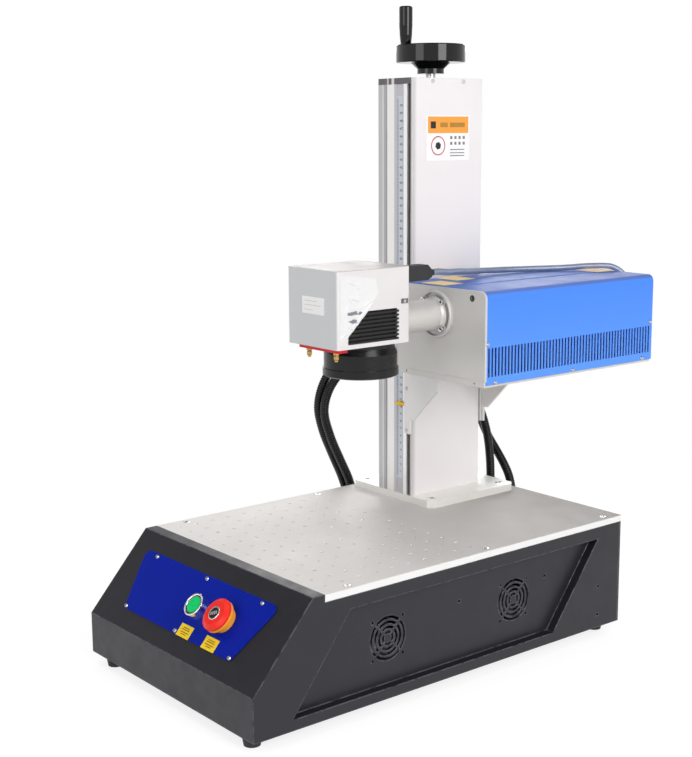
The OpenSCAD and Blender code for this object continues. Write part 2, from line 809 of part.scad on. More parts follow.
// fans
module fan_frame(y) translate([fan_x0, y, fan_z]) rotate([0, 90, 0]) {
    difference() {
        linear_extrude(fan_t) soft([-fan_size/2, -fan_size/2], [fan_size/2, fan_size/2], fan_corner_r);
        translate([0, 0, -cut]) cylinder(r = fan_bore/2, h = fan_t + cut*2);
        for (i = [-1, 1], j = [-1, 1]) translate([i*fan_pitch/2, j*fan_pitch/2, -cut])
            cylinder(r = fan_screw_d/2, h = fan_t + cut*2, $fn = 24);
    }
    difference() {
        union() {
            cylinder(r = fan_hub_r, h = fan_web);
            for (a = [0, 90]) rotate(a) translate([-fan_bore/2 - fan_rim/2, -fan_strut/2, 0])
                cube([fan_bore + fan_rim, fan_strut, fan_web]);
        }
        translate([0, 0, -cut]) cylinder(r = fan_shaft_r + run, h = fan_web + cut*2, $fn = 24);
    }
}
module fan_frames() color("black") place() for (y = fan_y) fan_frame(y);
module fan_rotor(y) translate([fan_x0, y, fan_z]) rotate([0, 90, 0]) {
    cylinder(r = fan_shaft_r, h = fan_t - fan_web, $fn = 24);
    translate([0, 0, fan_web + gap]) cylinder(r = fan_hub_r, h = fan_t - fan_web*2);
    for (k = [0:fan_blades - 1]) rotate(k*360/fan_blades)
        translate([fan_hub_r - cut, 0, fan_web + (fan_t - fan_web)/2]) rotate([fan_pitch_a, 0, 0])
            translate([0, -(fan_t - fan_web*2)/2, -fan_blade_t/2])
                cube([fan_bore/2 - fan_tip - fan_hub_r + cut - fan_blade_t, fan_t - fan_web*2, fan_blade_t]);
}
module fan_rotor_front() color("dimgray") place() fan_rotor(fan_y[0]);
module fan_rotor_rear() color("dimgray") place() fan_rotor(fan_y[1]);

// electronics
module supply(x, y, w, l, h) {
    box([x - w/2, y - l/2, sheet_t + stand_h], [x + w/2, y + l/2, sheet_t + stand_h + h]);
    for (i = [-1, 1], j = [-1, 1])
        post([x + i*(w/2 - stand_in), y + j*(l/2 - stand_in), sheet_t], stand_r, stand_h, $fn = 24);
}
module power_supplies() color("lightgray") place() {
    supply(supply_x, supply_y, supply_w, supply_l, supply_h);
    supply(supply2_x, supply_y, supply2_w, supply2_l, supply2_h);
}
module control_card() color("darkgreen") place() {
    z = sheet_t + stand_h;
    box([card_x - card_w/2, card_y - card_l/2, z], [card_x + card_w/2, card_y + card_l/2, z + card_t]);
    for (i = [-1, 1], j = [-1, 1])
        post([card_x + i*(card_w/2 - stand_in), card_y + j*(card_l/2 - stand_in), sheet_t], stand_r,
            stand_h, $fn = 24);
    box([card_x - chip_w/2, card_y - chip_w/2, z + card_t],
        [card_x + chip_w/2, card_y + chip_w/2, z + card_t + chip_h]);
    box([card_x - plug_w/2, card_y + card_l/2 - plug_l, z + card_t],
        [card_x + plug_w/2, card_y + card_l/2, z + card_t + plug_h]);
}

// power inlet with its rocker switch
module power_inlet() color("black") place() {
    y1 = cab_l + inlet_lip;
    difference() {
        union() {
            along(cab_l, inlet_lip) soft([inlet_x - inlet_w/2, inlet_z - inlet_tall/2],
                [inlet_x + inlet_w/2, inlet_z + inlet_tall/2], inlet_r);
            box([inlet_x - inlet_body_w/2, cab_l - inlet_body_l, inlet_z - inlet_body_tall/2],
                [inlet_x + inlet_body_w/2, cab_l + cut, inlet_z + inlet_body_tall/2]);
        }
        box([inlet_x - socket_w/2, y1 - socket_deep, inlet_z - socket_low - socket_tall/2],
            [inlet_x + socket_w/2, y1 + cut, inlet_z - socket_low + socket_tall/2]);
        box([inlet_x - rocker_w/2, y1 - rocker_t*2, inlet_z + rocker_high - rocker_tall/2],
            [inlet_x + rocker_w/2, y1 + cut, inlet_z + rocker_high + rocker_tall/2]);
        bar_x([inlet_x - rocker_w/2 - rocker_pin_l, y1 - rocker_back, inlet_z + rocker_high],
            rocker_pin_r + run, rocker_w + rocker_pin_l*2);
        for (i = [-1, 1])
            bar_y([inlet_x + i*inlet_screw_pitch/2, cab_l - cut, inlet_z], panel_screw_d/2, inlet_lip + cut*2);
    }
    for (i = [-1, 0, 1])
        box([inlet_x + i*pin_gap - pin_w/2, y1 - socket_deep - cut, inlet_z - socket_low - pin_tall/2],
            [inlet_x + i*pin_gap + pin_w/2, y1 - socket_deep + pin_l, inlet_z - socket_low + pin_tall/2]);
}
module power_rocker() color("red") place()
    translate([inlet_x, cab_l + inlet_lip - rocker_back, inlet_z + rocker_high])
    rotate([rocker_tilt, 0, 0]) {
        w = rocker_w/2 - gap*2;
        h = rocker_tall/2 - gap*5;
        rotate([90, 0, 90]) translate([0, 0, -w]) linear_extrude(w*2)
            polygon([[-rocker_back, -h], [rocker_back + gap, -h], [rocker_back, 0], [rocker_back + gap, h],
                [-rocker_back, h]]);
        bar_x([-rocker_w/2 - rocker_pin_l + gap, 0, 0], rocker_pin_r, rocker_w + rocker_pin_l*2 - gap*2);
    }

// mast
module mast_foot() color("silver") place() difference() {
    translate([0, 0, cab_h]) linear_extrude(base_t) polygon([
        [base_x0 + base_corner, base_y0], [base_x1 - base_corner, base_y0],
        [base_x1, base_y0 + base_corner], [base_x1, base_y1 - base_corner],
        [base_x1 - base_corner, base_y1], [base_x0 + base_corner, base_y1],
        [base_x0, base_y1 - base_corner], [base_x0, base_y0 + base_corner]]);
    for (p = base_screw_pts()) {
        post([p.x, p.y, cab_h - cut], base_screw_d/2 + loose, base_t + cut*2);
        post([p.x, p.y, base_z1 - base_screw_dip], base_screw_head/2 + loose, base_screw_dip + cut);
    }
    for (i = [-1, 1]) post([lead_x, mast_y + i*rod_pitch/2, base_z1 - rod_seat], rod_d/2, rod_seat + cut);
    post([lead_x, mast_y, base_z1 - bearing_h], bearing_r, bearing_h + cut);
}
module mast_screws() color("dimgray") place() {
    for (p = base_screw_pts()) {
        post([p.x, p.y, base_z1 - base_screw_dip], base_screw_head/2, base_screw_dip - gap);
        post([p.x, p.y, rim_z], base_screw_d/2, plate_t + base_t - base_screw_dip);
    }
    for (i = [-1, 1]) {
        bar_x([mast_x1, mast_y + i*cap_screw_y, mast_z1 - mast_cap_t/2], cap_screw_r, cap_screw_r/2);
        bar_x([mast_x1 - cover_t - mast_cap_t, mast_y + i*cap_screw_y, mast_z1 - mast_cap_t/2], cap_screw_r/2,
            cover_t + mast_cap_t);
    }
}
module tee() {
    translate([-tee_w/2, -cut]) square([tee_w, tee_d + cut*2]);
    translate([-tee_in_w/2, tee_d]) square([tee_in_w, tee_in_d]);
}
module mast_section() difference() {
    translate([mast_x0, mast_y0]) square([prof_w, mast_d]);
    translate([mast_x0 + wall_back, mast_y0 + wall_side]) square([prof_w, mast_d - wall_side*2]);
    translate([prof_x1 - lip_side, mast_y0 + lip_side]) square([lip_side + cut, mast_d - lip_side*2]);
    for (s = [0, 1]) translate([0, s*mast_y*2]) mirror([0, s]) {
        translate([mast_x0 + tee_x + tee_w/2, mast_y0]) tee();
        translate([mast_x0 + rule_x, mast_y0 - cut]) square([rule_w, rule_dip + cut]);
    }
    for (i = [-1, 1]) translate([mast_x0, mast_y + i*rod_pitch/2]) rotate(-90) tee();
}
module mast_profile() color("silver") place() translate([0, 0, base_z1])
    linear_extrude(mast_h - mast_cap_t) mast_section();
module mast_cover() color("whitesmoke") place() difference() {
    translate([0, 0, base_z1]) linear_extrude(mast_h)
        soft([mast_x1 - cover_t, mast_y0], [mast_x1, mast_y1], cover_r);
    for (i = [-1, 1])
        bar_x([mast_x1 - cover_t - cut, mast_y + i*cap_screw_y, mast_z1 - mast_cap_t/2], cap_screw_r/2 + loose,
            cover_t + cut*2);
}
module mast_cap() color("gray") place() difference() {
    box([mast_x0, mast_y0, mast_z1 - mast_cap_t], [mast_x1 - cover_t, mast_y1, mast_z1]);
    for (i = [-1, 1]) {
        post([lead_x, mast_y + i*rod_pitch/2, mast_z1 - mast_cap_t - cut], rod_d/2, rod_seat + cut);
        bar_x([mast_x1 - cover_t - mast_cap_t, mast_y + i*cap_screw_y, mast_z1 - mast_cap_t/2], cap_screw_r/2,
            mast_cap_t + cut);
    }
    post([lead_x, mast_y, mast_z1 - mast_cap_t - cut], bearing_r, bearing_h + cut);
    post([lead_x, mast_y, mast_z1 - mast_cap_t], journal_r + gap, mast_cap_t + cut);
}
module ruler() color("lightsteelblue") place()
    box([mast_x0 + rule_x, mast_y0 + rule_dip - rule_t, base_z1 + rule_z0],
        [mast_x0 + rule_x + rule_w - gap, mast_y0 + rule_dip, base_z1 + rule_z1]);
module guide_rods() color("lightgray") place() for (i = [-1, 1])
    post([lead_x, mast_y + i*rod_pitch/2, base_z1 - rod_seat], rod_d/2, mast_h - mast_cap_t + rod_seat*2);
module screw_bearings() color("slategray") place() for (z = [base_z1 - bearing_h, mast_z1 - mast_cap_t])
    difference() {
        post([lead_x, mast_y, z], bearing_r, bearing_h);
        post([lead_x, mast_y, z - cut], journal_r + run, bearing_h + cut*2);
    }
module lead_screw() color("silver") place() {
    post([lead_x, mast_y, base_z1 - bearing_h + gap], journal_r, bearing_h);
    post([lead_x, mast_y, base_z1 + gap], screw_d/2, mast_h - mast_cap_t - gap*2);
    post([lead_x, mast_y, mast_z1 - mast_cap_t - gap], journal_r, mast_cap_t + hub_z + hub_h + gap);
    post([lead_x, mast_y, mast_z1 + gap], shaft_r, hub_z - gap);
}
wheel_h = hub_h + cone_h + rim_h;
wheel_z = mast_z1 + hub_z;
wheel_top = wheel_z + wheel_h;
module handwheel() color("black") place() translate([lead_x, mast_y, wheel_z]) difference() {
    union() {
        rotate_extrude() polygon([[0, 0], [hub_r, 0], [hub_r, hub_h], [cone_r, hub_h + cone_h],
            [wheel_d/2 - rim_c, hub_h + cone_h], [wheel_d/2, hub_h + cone_h + rim_c],
            [wheel_d/2, wheel_h - rim_c], [wheel_d/2 - rim_c, wheel_h], [wheel_d/2 - rim_w, wheel_h],
            [wheel_d/2 - rim_w, wheel_h - dish_d],
            [hub_r, wheel_h - dish_d], [hub_r - rim_c, wheel_h - dish_d/2], [0, wheel_h - dish_d/2]]);
        rotate(grip_a) translate([grip_r, 0, wheel_h - dish_d - cut])
            cylinder(r = boss_r, h = dish_d + cut - gap);
    }
    translate([0, 0, -cut]) cylinder(r = journal_r, h = hub_h + cut);
    rotate(grip_a) translate([grip_r, 0, wheel_h - pin_seat - gap])
        cylinder(r = grip_pin_r, h = pin_seat + cut);
}
module handwheel_grip() color("black") place()
    translate([lead_x + grip_r*cos(grip_a), mast_y + grip_r*sin(grip_a), wheel_top]) rotate_extrude() polygon([
        [0, -pin_seat], [grip_pin_r - run, -pin_seat], [grip_pin_r - run, gap],
        [grip_low_r, gap], [grip_top_r - grip_round/2, grip_h/4], [grip_top_r, grip_h/2],
        [grip_top_r, grip_h - grip_round], [grip_top_r - grip_round, grip_h], [0, grip_h]]);

// carriage
module carriage_plate() color("gainsboro") place() difference() {
    union() {
        box([arm_x0, cheek_y0, car_z], [arm_x1, cheek_y1, car_z + car_h]);
        for (y = [cheek_y0, cheek_y1 - cheek_t])
            box([arm_x0, y, car_z], [cheek_x1, y + cheek_t, car_z + car_h]);
        box([block_x0, block_y0, car_z], [arm_x0 + cut, block_y1, car_z + car_h]);
    }
    for (i = [-1, 1]) post([lead_x, mast_y + i*rod_pitch/2, car_z - cut], rod_d/2 + run, car_h + cut*2);
    post([lead_x, mast_y, car_z - cut], nut_r, car_h + cut*2);
}
module lead_nut() color("goldenrod") place() difference() {
    union() {
        post([lead_x, mast_y, car_z], nut_r, car_h/2);
        post([lead_x, mast_y, car_z - nut_flange_h], nut_flange_r, nut_flange_h);
    }
    post([lead_x, mast_y, car_z - nut_flange_h - cut], screw_d/2 + run, car_h);
}
function gusset_pts() = let (x = gusset_x0, z = car_z + gusset_low)
    [[x, z], [x + tab_in, z], [x + tab_in, car_z], [x + tab_in + tab_w, car_z], [x + tab_in + tab_w, z],
    [x + gusset_toe, z], [gusset_x1, z + gusset_slant], [gusset_x1, tray_z0], [x, tray_z0]];
function gusset_screw_pts() = [for (z = [tab_screw_z, tab_screw_z2]) [tab_in + tab_screw_in, z]];
module gusset(y) difference() {
    along(y, gusset_t) polygon(gusset_pts());
    for (p = gusset_screw_pts())
        bar_y([gusset_x0 + p.x, y - cut, car_z + p.y], gusset_screw_r/2 + loose/2, gusset_t + cut*2);
}
module gusset_front() color("gainsboro") place() gusset(cheek_y0 - gusset_t);
module gusset_rear() color("gainsboro") place() gusset(cheek_y1);
module pointer() color("gold") place() {
    y0 = mast_y0 - cheek_gap - pointer_t;
    z = car_z + pointer_z;
    along(y0, pointer_t) polygon([[arm_x0 - pointer_back - pointer_w, z],
        [arm_x0 - pointer_back, z - pointer_h/2],
        [arm_x0 - pointer_back, z - pointer_h/4], [arm_x0, z - pointer_h/4], [arm_x0, z + pointer_h/4],
        [arm_x0 - pointer_back, z + pointer_h/4], [arm_x0 - pointer_back, z + pointer_h/2]]);
}

// laser
module laser_tray() color("silver") place() difference() {
    box([laser_x0 + blue_t, laser_y0, tray_z0], [laser_x1 - blue_t, laser_y1 - blue_t, tray_z1]);
    for (x = [laser_x0 + tray_screw_in, laser_x1 - tray_screw_in])
        bar_y([x, laser_y0 - cut, tray_z0 + tray_t/2], tray_screw_r, tray_screw_l + cut);
}
module laser_front() color("silver") place() difference() {
    along(laser_y0, face_t) arch([laser_x0, tray_z1], [laser_x1, laser_z1], blue_r);
    bar_y([beam_x, laser_y0 - cut, beam_z], tube_d/2 - tube_wall, face_t + cut*2);
    bar_y([laser_x1 - face_hole_in_x, laser_y0 - cut, laser_z1 - face_hole_in_z], face_hole_r, face_t + cut*2);
    for (i = [-1, 1], j = [-1, 1])
        bar_y([beam_x + i*flange_pitch/2, laser_y0 - cut, beam_z + j*flange_pitch/2], bolt_r, face_t + cut*2);
}
module laser_cover() color("royalblue") place() {
    y0 = laser_y0 + face_t;
    l = laser_l - face_t;
    difference() {
        along(y0, l) arch([laser_x0, tray_z0 + cover_up], [laser_x1, laser_z1], blue_r);
        along(y0 - cut, l - blue_t + cut)
            arch([laser_x0 + blue_t, tray_z0], [laser_x1 - blue_t, laser_z1 - blue_t], blue_r - blue_t);
        for (i = [0:vent_n - 1])
            box([laser_x1 - blue_t - cut, laser_y0 + vent_in + i*vent_pitch, tray_z0 + vent_z],
                [laser_x1 + cut, laser_y0 + vent_in + i*vent_pitch + vent_w, tray_z0 + vent_z + vent_h]);
        for (p = [port_a, port_b, port_c, port_d])
            bar_x([laser_x0 - cut, p.y, p.z], hose_bore/2, blue_t + cut*2);
        bar_y([pipe_end.x, laser_y1 - blue_t - cut, pipe_end.z - pipe_gland_l], pipe_bore/2, blue_t + cut*2);
    }
    box([laser_x0 + blue_r, y0, laser_z1], [laser_x1 - ridge_in, laser_y1, laser_z1 + ridge_h]);
}
module laser_module() color("black") place() {
    box([laser_x0 + module_in, laser_y0 + module_y0, tray_z1],
        [laser_x1 - module_in, laser_y0 + module_y0 + module_l, tray_z1 + module_h]);
    bar_y([beam_x, laser_y0 + face_t, beam_z], barrel_r, module_y0);
}
module head_screws() color("silver") place() {
    for (y = side_screw_y) pan_x(laser_x1, laser_y0 + y, tray_z0 + side_screw_z);
    for (y = [laser_y0 + end_screw_in, laser_y1 - end_screw_in]) pan_x(laser_x1, y, tray_z0 + end_screw_z);
    pan_x(head_x1 - nick_d, head_y1 - nick_l/2, head_z0 + nick_z + nick_h/2);
    for (i = [-1, 1], j = [-1, 1]) {
        bar_y([beam_x + i*flange_pitch/2, laser_y0 - flange_t - flange_screw_h, beam_z + j*flange_pitch/2],
            flange_screw_r, flange_screw_h);
        bar_y([beam_x + i*flange_pitch/2, laser_y0 - flange_t, beam_z + j*flange_pitch/2], bolt_r,
            flange_t + face_t);
    }
    for (p = gusset_screw_pts()) {
        bar_y([gusset_x0 + p.x, cheek_y0 - gusset_t - gusset_screw_r/2, car_z + p.y], gusset_screw_r,
            gusset_screw_r/2);
        bar_y([gusset_x0 + p.x, cheek_y1 + gusset_t, car_z + p.y], gusset_screw_r, gusset_screw_r/2);
    }
}
module pan_x(x, y, z) translate([x, y, z]) rotate([0, 90, 0])
    cylinder(r1 = pan_head_r, r2 = pan_top_r, h = pan_head_h, $fn = 24);

// scan head
module beam_tube() color("silver") place() difference() {
    union() {
        bar_y([beam_x, head_y1, beam_z], tube_d/2, tube_l);
        bar_y([beam_x, laser_y0 - flange_t, beam_z], flange_d/2, flange_t);
    }
    bar_y([beam_x, head_y1 - cut, beam_z], tube_d/2 - tube_wall, tube_l + cut*2);
    for (i = [-1, 1], j = [-1, 1])
        bar_y([beam_x + i*flange_pitch/2, laser_y0 - flange_t - cut, beam_z + j*flange_pitch/2], bolt_r,
            flange_t + cut*2);
}
module galvo_housing() color("whitesmoke") place() difference() {
    translate([0, 0, head_z0]) linear_extrude(head_h) soft([head_x0, head_y0], [head_x1, head_y1], head_edge_r);
    box([head_x0 + head_t, head_y0 + head_t, head_z0 + head_t],
        [head_x1 - head_t, head_y1 - head_t, head_z1 - head_t]);
    post([lens_x, lens_y, head_z0 - cut], lens_bore_r, head_t + cut*2);
    bar_y([beam_x, head_y1 - head_t - cut, beam_z], tube_d/2 - tube_wall, head_t + cut*2);
    box([head_x1 - head_t - cut, head_y0 + fin_y0, head_z0 + fin_z0],
        [head_x1 + cut, head_y0 + fin_y0 + fin_l, head_z0 + fin_z0 + fin_n*fin_pitch]);
    for (i = [0:fin_n - 1]) box([head_x1 - head_t - cut, head_y0 + fin_y0, head_z0 + fin_z0 + i*fin_pitch],
        [head_x1 + cut, head_y0 + fin_y0 + fin_l + fin_tooth, head_z0 + fin_z0 + i*fin_pitch + fin_t]);
    box([head_x1 - nick_d, head_y1 - nick_l, head_z0 + nick_z],
        [head_x1 + cut, head_y1 + cut, head_z0 + nick_z + nick_h]);
}
module galvo_grille() color("black") place() {
    box([head_x1 - fin_deep, head_y0 + fin_y0, head_z0 + fin_z0],
        [head_x1 - fin_deep + fin_back, head_y0 + fin_y0 + fin_l, head_z0 + fin_z0 + fin_n*fin_pitch]);
    for (i = [0:fin_n - 1]) box([head_x1 - fin_deep, head_y0 + fin_y0, head_z0 + fin_z0 + i*fin_pitch],
        [head_x1, head_y0 + fin_y0 + fin_l + fin_tooth, head_z0 + fin_z0 + i*fin_pitch + fin_t]);
}
film_shares = [[0.035, 0.08], [0.145, 0.16], [0.43, 0.48], [0.56, 0.68], [0.52, 0.87], [0.035, 0.95]];
module side_film() color([0.9, 0.9, 0.9, 0.5]) place() across(head_x1, film_t)
    polygon([for (p = film_shares) [head_y0 + p.x*head_l, head_z0 + p.y*head_h]]);
module red_plate() color("red") place() translate([0, 0, head_z0 - red_t]) linear_extrude(red_t)
    soft([head_x0 + red_x0, head_y0 + red_in], [head_x1, head_y0 + red_in + red_l], red_r);
module brass_pointers() color("gold") place() for (x = brass_x)
    translate([head_x0 + x, head_y0 + brass_y, head_z0 - red_t - brass_h]) {
    cylinder(r = brass_r, h = brass_h);
    translate([0, 0, -brass_nip_h]) cylinder(r = brass_nip_r, h = brass_nip_h, $fn = 24);
}
module lens_barrel() color("black") place()
    translate([lens_x, lens_y, head_z0 - lens_h]) rotate_extrude() polygon([
    [lens_tip_r - lens_wall, 0], [lens_tip_r, 0], [lens_ring_r, lens_tip_h], [lens_ring_r, lens_ring_h],
    [lens_d/2, lens_ring_h + gap], [lens_d/2, lens_mid_h], [lens_neck_r, lens_neck_h], [lens_neck_r, lens_h],
    [lens_bore_r, lens_h], [lens_bore_r, glass_up + glass_t], [glass_r, glass_up + glass_t],
    [glass_r, glass_up]]);
module lens_glass() color("lightcyan") place()
    post([lens_x, lens_y, head_z0 - lens_h + glass_up], glass_r, glass_t);
module scan_motors() color("dimgray") place() {
    difference() {
        post([beam_x, lens_y, beam_z + motor_gap], motor_r, head_z1 - head_t - beam_z - motor_gap);
        post([beam_x, lens_y, beam_z + motor_gap - cut], mirror_shaft_r + run, mirror_seat + cut);
    }
    difference() {
        bar_y([lens_x, head_y0 + head_t, beam_z], motor_r, lens_y - motor_gap - cut - head_y0 - head_t);
        bar_y([lens_x, lens_y - motor_gap - cut - mirror_seat, beam_z], mirror_shaft_r + run,
            mirror_seat + cut);
    }
}
module mirror_x() color("lightcyan") place() translate([beam_x, lens_y, beam_z]) {
    rotate(45) box([-mirror_w/2, -mirror_t/2, -mirror_h/2], [mirror_w/2, mirror_t/2, mirror_h/2 - cut]);
    post([0, 0, mirror_h/2 - cut*2], mirror_shaft_r, motor_gap + mirror_seat - mirror_h/2 + cut);
}
module mirror_y() color("lightcyan") place() translate([lens_x, lens_y, beam_z]) {
    rotate([0, -45, 0]) box([-mirror_w/2, -mirror_h/2, -mirror_t/2], [mirror_w/2, mirror_h/2, mirror_t/2]);
    bar_y([0, -motor_gap - mirror_seat + cut, 0], mirror_shaft_r, motor_gap + mirror_seat - mirror_h/2);
}
module connector_hood() color("black") place() {
    x = head_x0 + hood_x0;
    z1 = head_z1 - hood_down;
    y1 = head_y1 + hood_l;
    across(x, hood_w) polygon([[head_y1, z1 - hood_h], [y1, z1 - hood_h],
        [y1 + hood_taper, pipe_start.z - hood_neck_h/2], [y1 + hood_taper, pipe_start.z + hood_neck_h/2],
        [y1, z1], [head_y1, z1]]);
    bar_y([pipe_start.x, y1 + hood_taper, pipe_start.z], hood_neck_r,
        pipe_start.y - y1 - hood_taper - hose_seat);
}
module head_labels() color("khaki") place() {
    for (s = [label_a_shares, label_b_shares, label_c_shares])
        translate([laser_x0 + s.x*laser_w, laser_y0 + s.y*laser_l, laser_z1 + ridge_h])
            cube([top_label_w, top_label_l, top_label_t]);
    box([head_x0 + sticker_x, head_y0 - sticker_t, head_z0 + sticker_z],
        [head_x0 + sticker_x + sticker_w, head_y0, head_z0 + sticker_z + sticker_h]);
}

// glands
module elbow(wall, tip, dir) {
    // dir 0: out of the left wall, dir 1: out of the rear wall
    z = tip.z - gland_r;
    if (dir == 0) {
        bar_x([tip.x, tip.y, z], gland_neck_r, wall - tip.x);
        bar_x([wall - gland_nut_h, tip.y, z], gland_nut_r, gland_nut_h, $fn = 6);
    } else {
        bar_y([tip.x, wall, z], gland_neck_r, tip.y - wall);
        bar_y([tip.x, wall, z], gland_nut_r, gland_nut_h, $fn = 6);
    }
    box([tip.x - elbow_r, tip.y - elbow_r, z - elbow_r], [tip.x + elbow_r, tip.y + elbow_r, z + elbow_r]);
    post([tip.x, tip.y, z], gland_neck_r, gland_r - hose_seat);
}
module glands_low() color("black") place() {
    elbow(-cab_w/2, gland_a, 0);
    elbow(-cab_w/2, gland_b, 0);
    elbow(cab_l, gland_c, 1);
    elbow(cab_l, gland_d, 1);
}
module glands_high() color("black") place() {
    for (p = [port_a, port_b, port_c, port_d])
        bar_x([p.x + hose_seat, p.y, p.z], gland_r, laser_x0 - p.x - hose_seat);
    z = pipe_end.z - pipe_gland_l;
    bar_y([pipe_end.x, laser_y1, z], pipe_neck_r, pipe_end.y - laser_y1);
    box([pipe_end.x - pipe_elbow_r, pipe_end.y - pipe_elbow_r, z - pipe_elbow_r],
        [pipe_end.x + pipe_elbow_r, pipe_end.y + pipe_elbow_r, z + pipe_elbow_r]);
    post([pipe_end.x, pipe_end.y, z], pipe_neck_r, pipe_gland_l - hose_seat);
}

// a curve through a route's points, and rings set square along it
function curve(p, i, t) = let (a = p[max(i - 1, 0)], b = p[i], c = p[i + 1], d = p[min(i + 2, len(p) - 1)])
    (b*2 + (c - a)*t + (a*2 - b*5 + c*4 - d)*t*t + (b*3 - c*3 + d - a)*t*t*t)/2;
fine = 8;
function fine_pts(p) = concat([for (i = [0:len(p) - 2], k = [0:fine - 1]) curve(p, i, k/fine)],
    [p[len(p) - 1]]);
function sums(q) = [for (i = 0, s = 0; i < len(q);
    s = s + (i < len(q) - 1 ? norm(q[i + 1] - q[i]) : 0), i = i + 1) s];
function spot(q, s, d) = let (i = max([for (k = [0:len(q) - 2]) s[k] <= d ? k : 0]))
    q[i] + (q[i + 1] - q[i])*(d - s[i])/(s[i + 1] - s[i]);
function unit(v) = v/norm(v);
function heading(q, s, d, e) = let (l = s[len(s) - 1])
    unit(spot(q, s, min(d + e, l)) - spot(q, s, max(d - e, 0)));
function turned(n, t) = unit(n - t*(n*t));
function frames(ts, n) = [for (i = 0, m = turned(n, ts[0]); i < len(ts);
    i = i + 1, m = turned(m, ts[min(i, len(ts) - 1)])) m];
function ring(c, t, n, r) = let (b = cross(t, n)) [for (k = [0:hose_sides - 1])
    c + (n*cos(k*360/hose_sides) + b*sin(k*360/hose_sides))*r];
function skin(n0, n, flip) = [for (i = [0:n - 2], k = [0:hose_sides - 1]) let (a = n0 + i*hose_sides + k,
    b = n0 + i*hose_sides + (k + 1)%hose_sides, c = a + hose_sides, d = b + hose_sides)
    each (flip ? [[a, c, b], [b, c, d]] : [[a, b, c], [b, d, c]])];
// a hose: ribs from crest to root with straight plain ends, round an open bore
module hose(route, ribs, d, root, bore) {
    q = fine_pts(route);
    s = sums(q);
    l = s[len(s) - 1];
    m = (l - d*2)/ribs;
    outs = concat([0, d], [for (i = [0:ribs - 1], h = [0.5, 1]) d + (i + h)*m], [l]);
    rs = concat([root/2, root/2], [for (i = [0:ribs - 1], h = [1, 0]) h*d/2 + (1 - h)*root/2], [root/2]);
    ins = concat([0, d], [for (i = [0:ribs - 1]) d + (i + 1)*m], [l]);
    up = [0, 0, 1];
    side = [1, 0, 0];
    to = [for (x = outs) heading(q, s, x, m/2)];
    ti = [for (x = ins) heading(q, s, x, m/2)];
    first = abs(to[0]*up) > 0.9 ? side : up;
    fo = frames(to, first);
    fi = frames(ti, first);
    no = len(outs);
    ni = len(ins);
    pts = concat([for (i = [0:no - 1]) each ring(spot(q, s, outs[i]), to[i], fo[i], rs[i])],
        [for (i = [0:ni - 1]) each ring(spot(q, s, ins[i]), ti[i], fi[i], bore/2)]);
    b = no*hose_sides;
    e = (no - 1)*hose_sides;
    f = b + (ni - 1)*hose_sides;
    ends = [for (k = [0:hose_sides - 1]) let (j = (k + 1)%hose_sides)
        each [[k, b + k, j], [j, b + k, b + j], [e + k, e + j, f + k], [e + j, f + j, f + k]]];
    polyhedron(pts, concat(skin(0, no, false), skin(b, ni, true), ends));
}
module hose_left_a() color("black") place() hose(route_a, ribs_a, hose_d, hose_root_d, hose_bore);
module hose_left_b() color("black") place() hose(route_b, ribs_b, hose_d, hose_root_d, hose_bore);
module hose_rear_a() color("black") place() hose(route_c, ribs_c, hose_d, hose_root_d, hose_bore);
module hose_rear_b() color("black") place() hose(route_d, ribs_d, hose_d, hose_root_d, hose_bore);
module conduit() color("lightgray") place() hose(route_p, ribs_p, pipe_d, pipe_root_d, pipe_bore);

cabinet_shell();
rear_panel();
table_plate();
case_screws();
feet();
control_panel();
labels();
start_bezel();
start_cap();
estop_body();
estop_stem();
estop_head();
fan_frames();
fan_rotor_front();
fan_rotor_rear();
power_supplies();
control_card();
power_inlet();
power_rocker();
mast_foot();
mast_screws();
mast_profile();
mast_cover();
mast_cap();
ruler();
guide_rods();
lead_screw();
screw_bearings();
handwheel();
handwheel_grip();
carriage_plate();
lead_nut();
gusset_front();
gusset_rear();
head_screws();
laser_tray();
laser_front();
laser_cover();
laser_module();
beam_tube();
galvo_housing();
galvo_grille();
side_film();
red_plate();
brass_pointers();
lens_barrel();
lens_glass();
scan_motors();
mirror_x();
mirror_y();
connector_hood();
conduit();
head_labels();
pointer();
hose_left_a();
hose_left_b();
hose_rear_a();
hose_rear_b();
glands_low();
glands_high();
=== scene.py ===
import json
import math

import bmesh
import bpy
from mathutils import Matrix, Vector


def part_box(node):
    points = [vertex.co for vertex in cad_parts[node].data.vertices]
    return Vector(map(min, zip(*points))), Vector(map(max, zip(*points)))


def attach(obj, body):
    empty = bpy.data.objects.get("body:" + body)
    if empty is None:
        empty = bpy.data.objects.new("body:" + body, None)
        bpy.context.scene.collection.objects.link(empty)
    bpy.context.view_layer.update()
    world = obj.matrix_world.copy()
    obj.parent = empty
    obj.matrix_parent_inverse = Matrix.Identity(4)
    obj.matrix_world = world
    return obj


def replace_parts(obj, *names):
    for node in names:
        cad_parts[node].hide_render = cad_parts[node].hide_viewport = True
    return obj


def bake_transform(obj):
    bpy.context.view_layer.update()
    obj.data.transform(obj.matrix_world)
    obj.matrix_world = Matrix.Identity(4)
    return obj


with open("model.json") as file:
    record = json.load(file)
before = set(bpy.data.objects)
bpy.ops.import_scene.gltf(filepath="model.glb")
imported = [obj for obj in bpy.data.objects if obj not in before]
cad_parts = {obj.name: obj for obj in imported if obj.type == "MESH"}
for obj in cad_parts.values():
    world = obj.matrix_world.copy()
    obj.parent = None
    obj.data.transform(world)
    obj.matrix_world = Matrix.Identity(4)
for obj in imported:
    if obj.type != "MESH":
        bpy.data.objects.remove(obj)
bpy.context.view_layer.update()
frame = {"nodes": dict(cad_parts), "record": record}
nodes = frame["nodes"]
scene = bpy.context.scene
scene.view_settings.view_transform = "Standard"

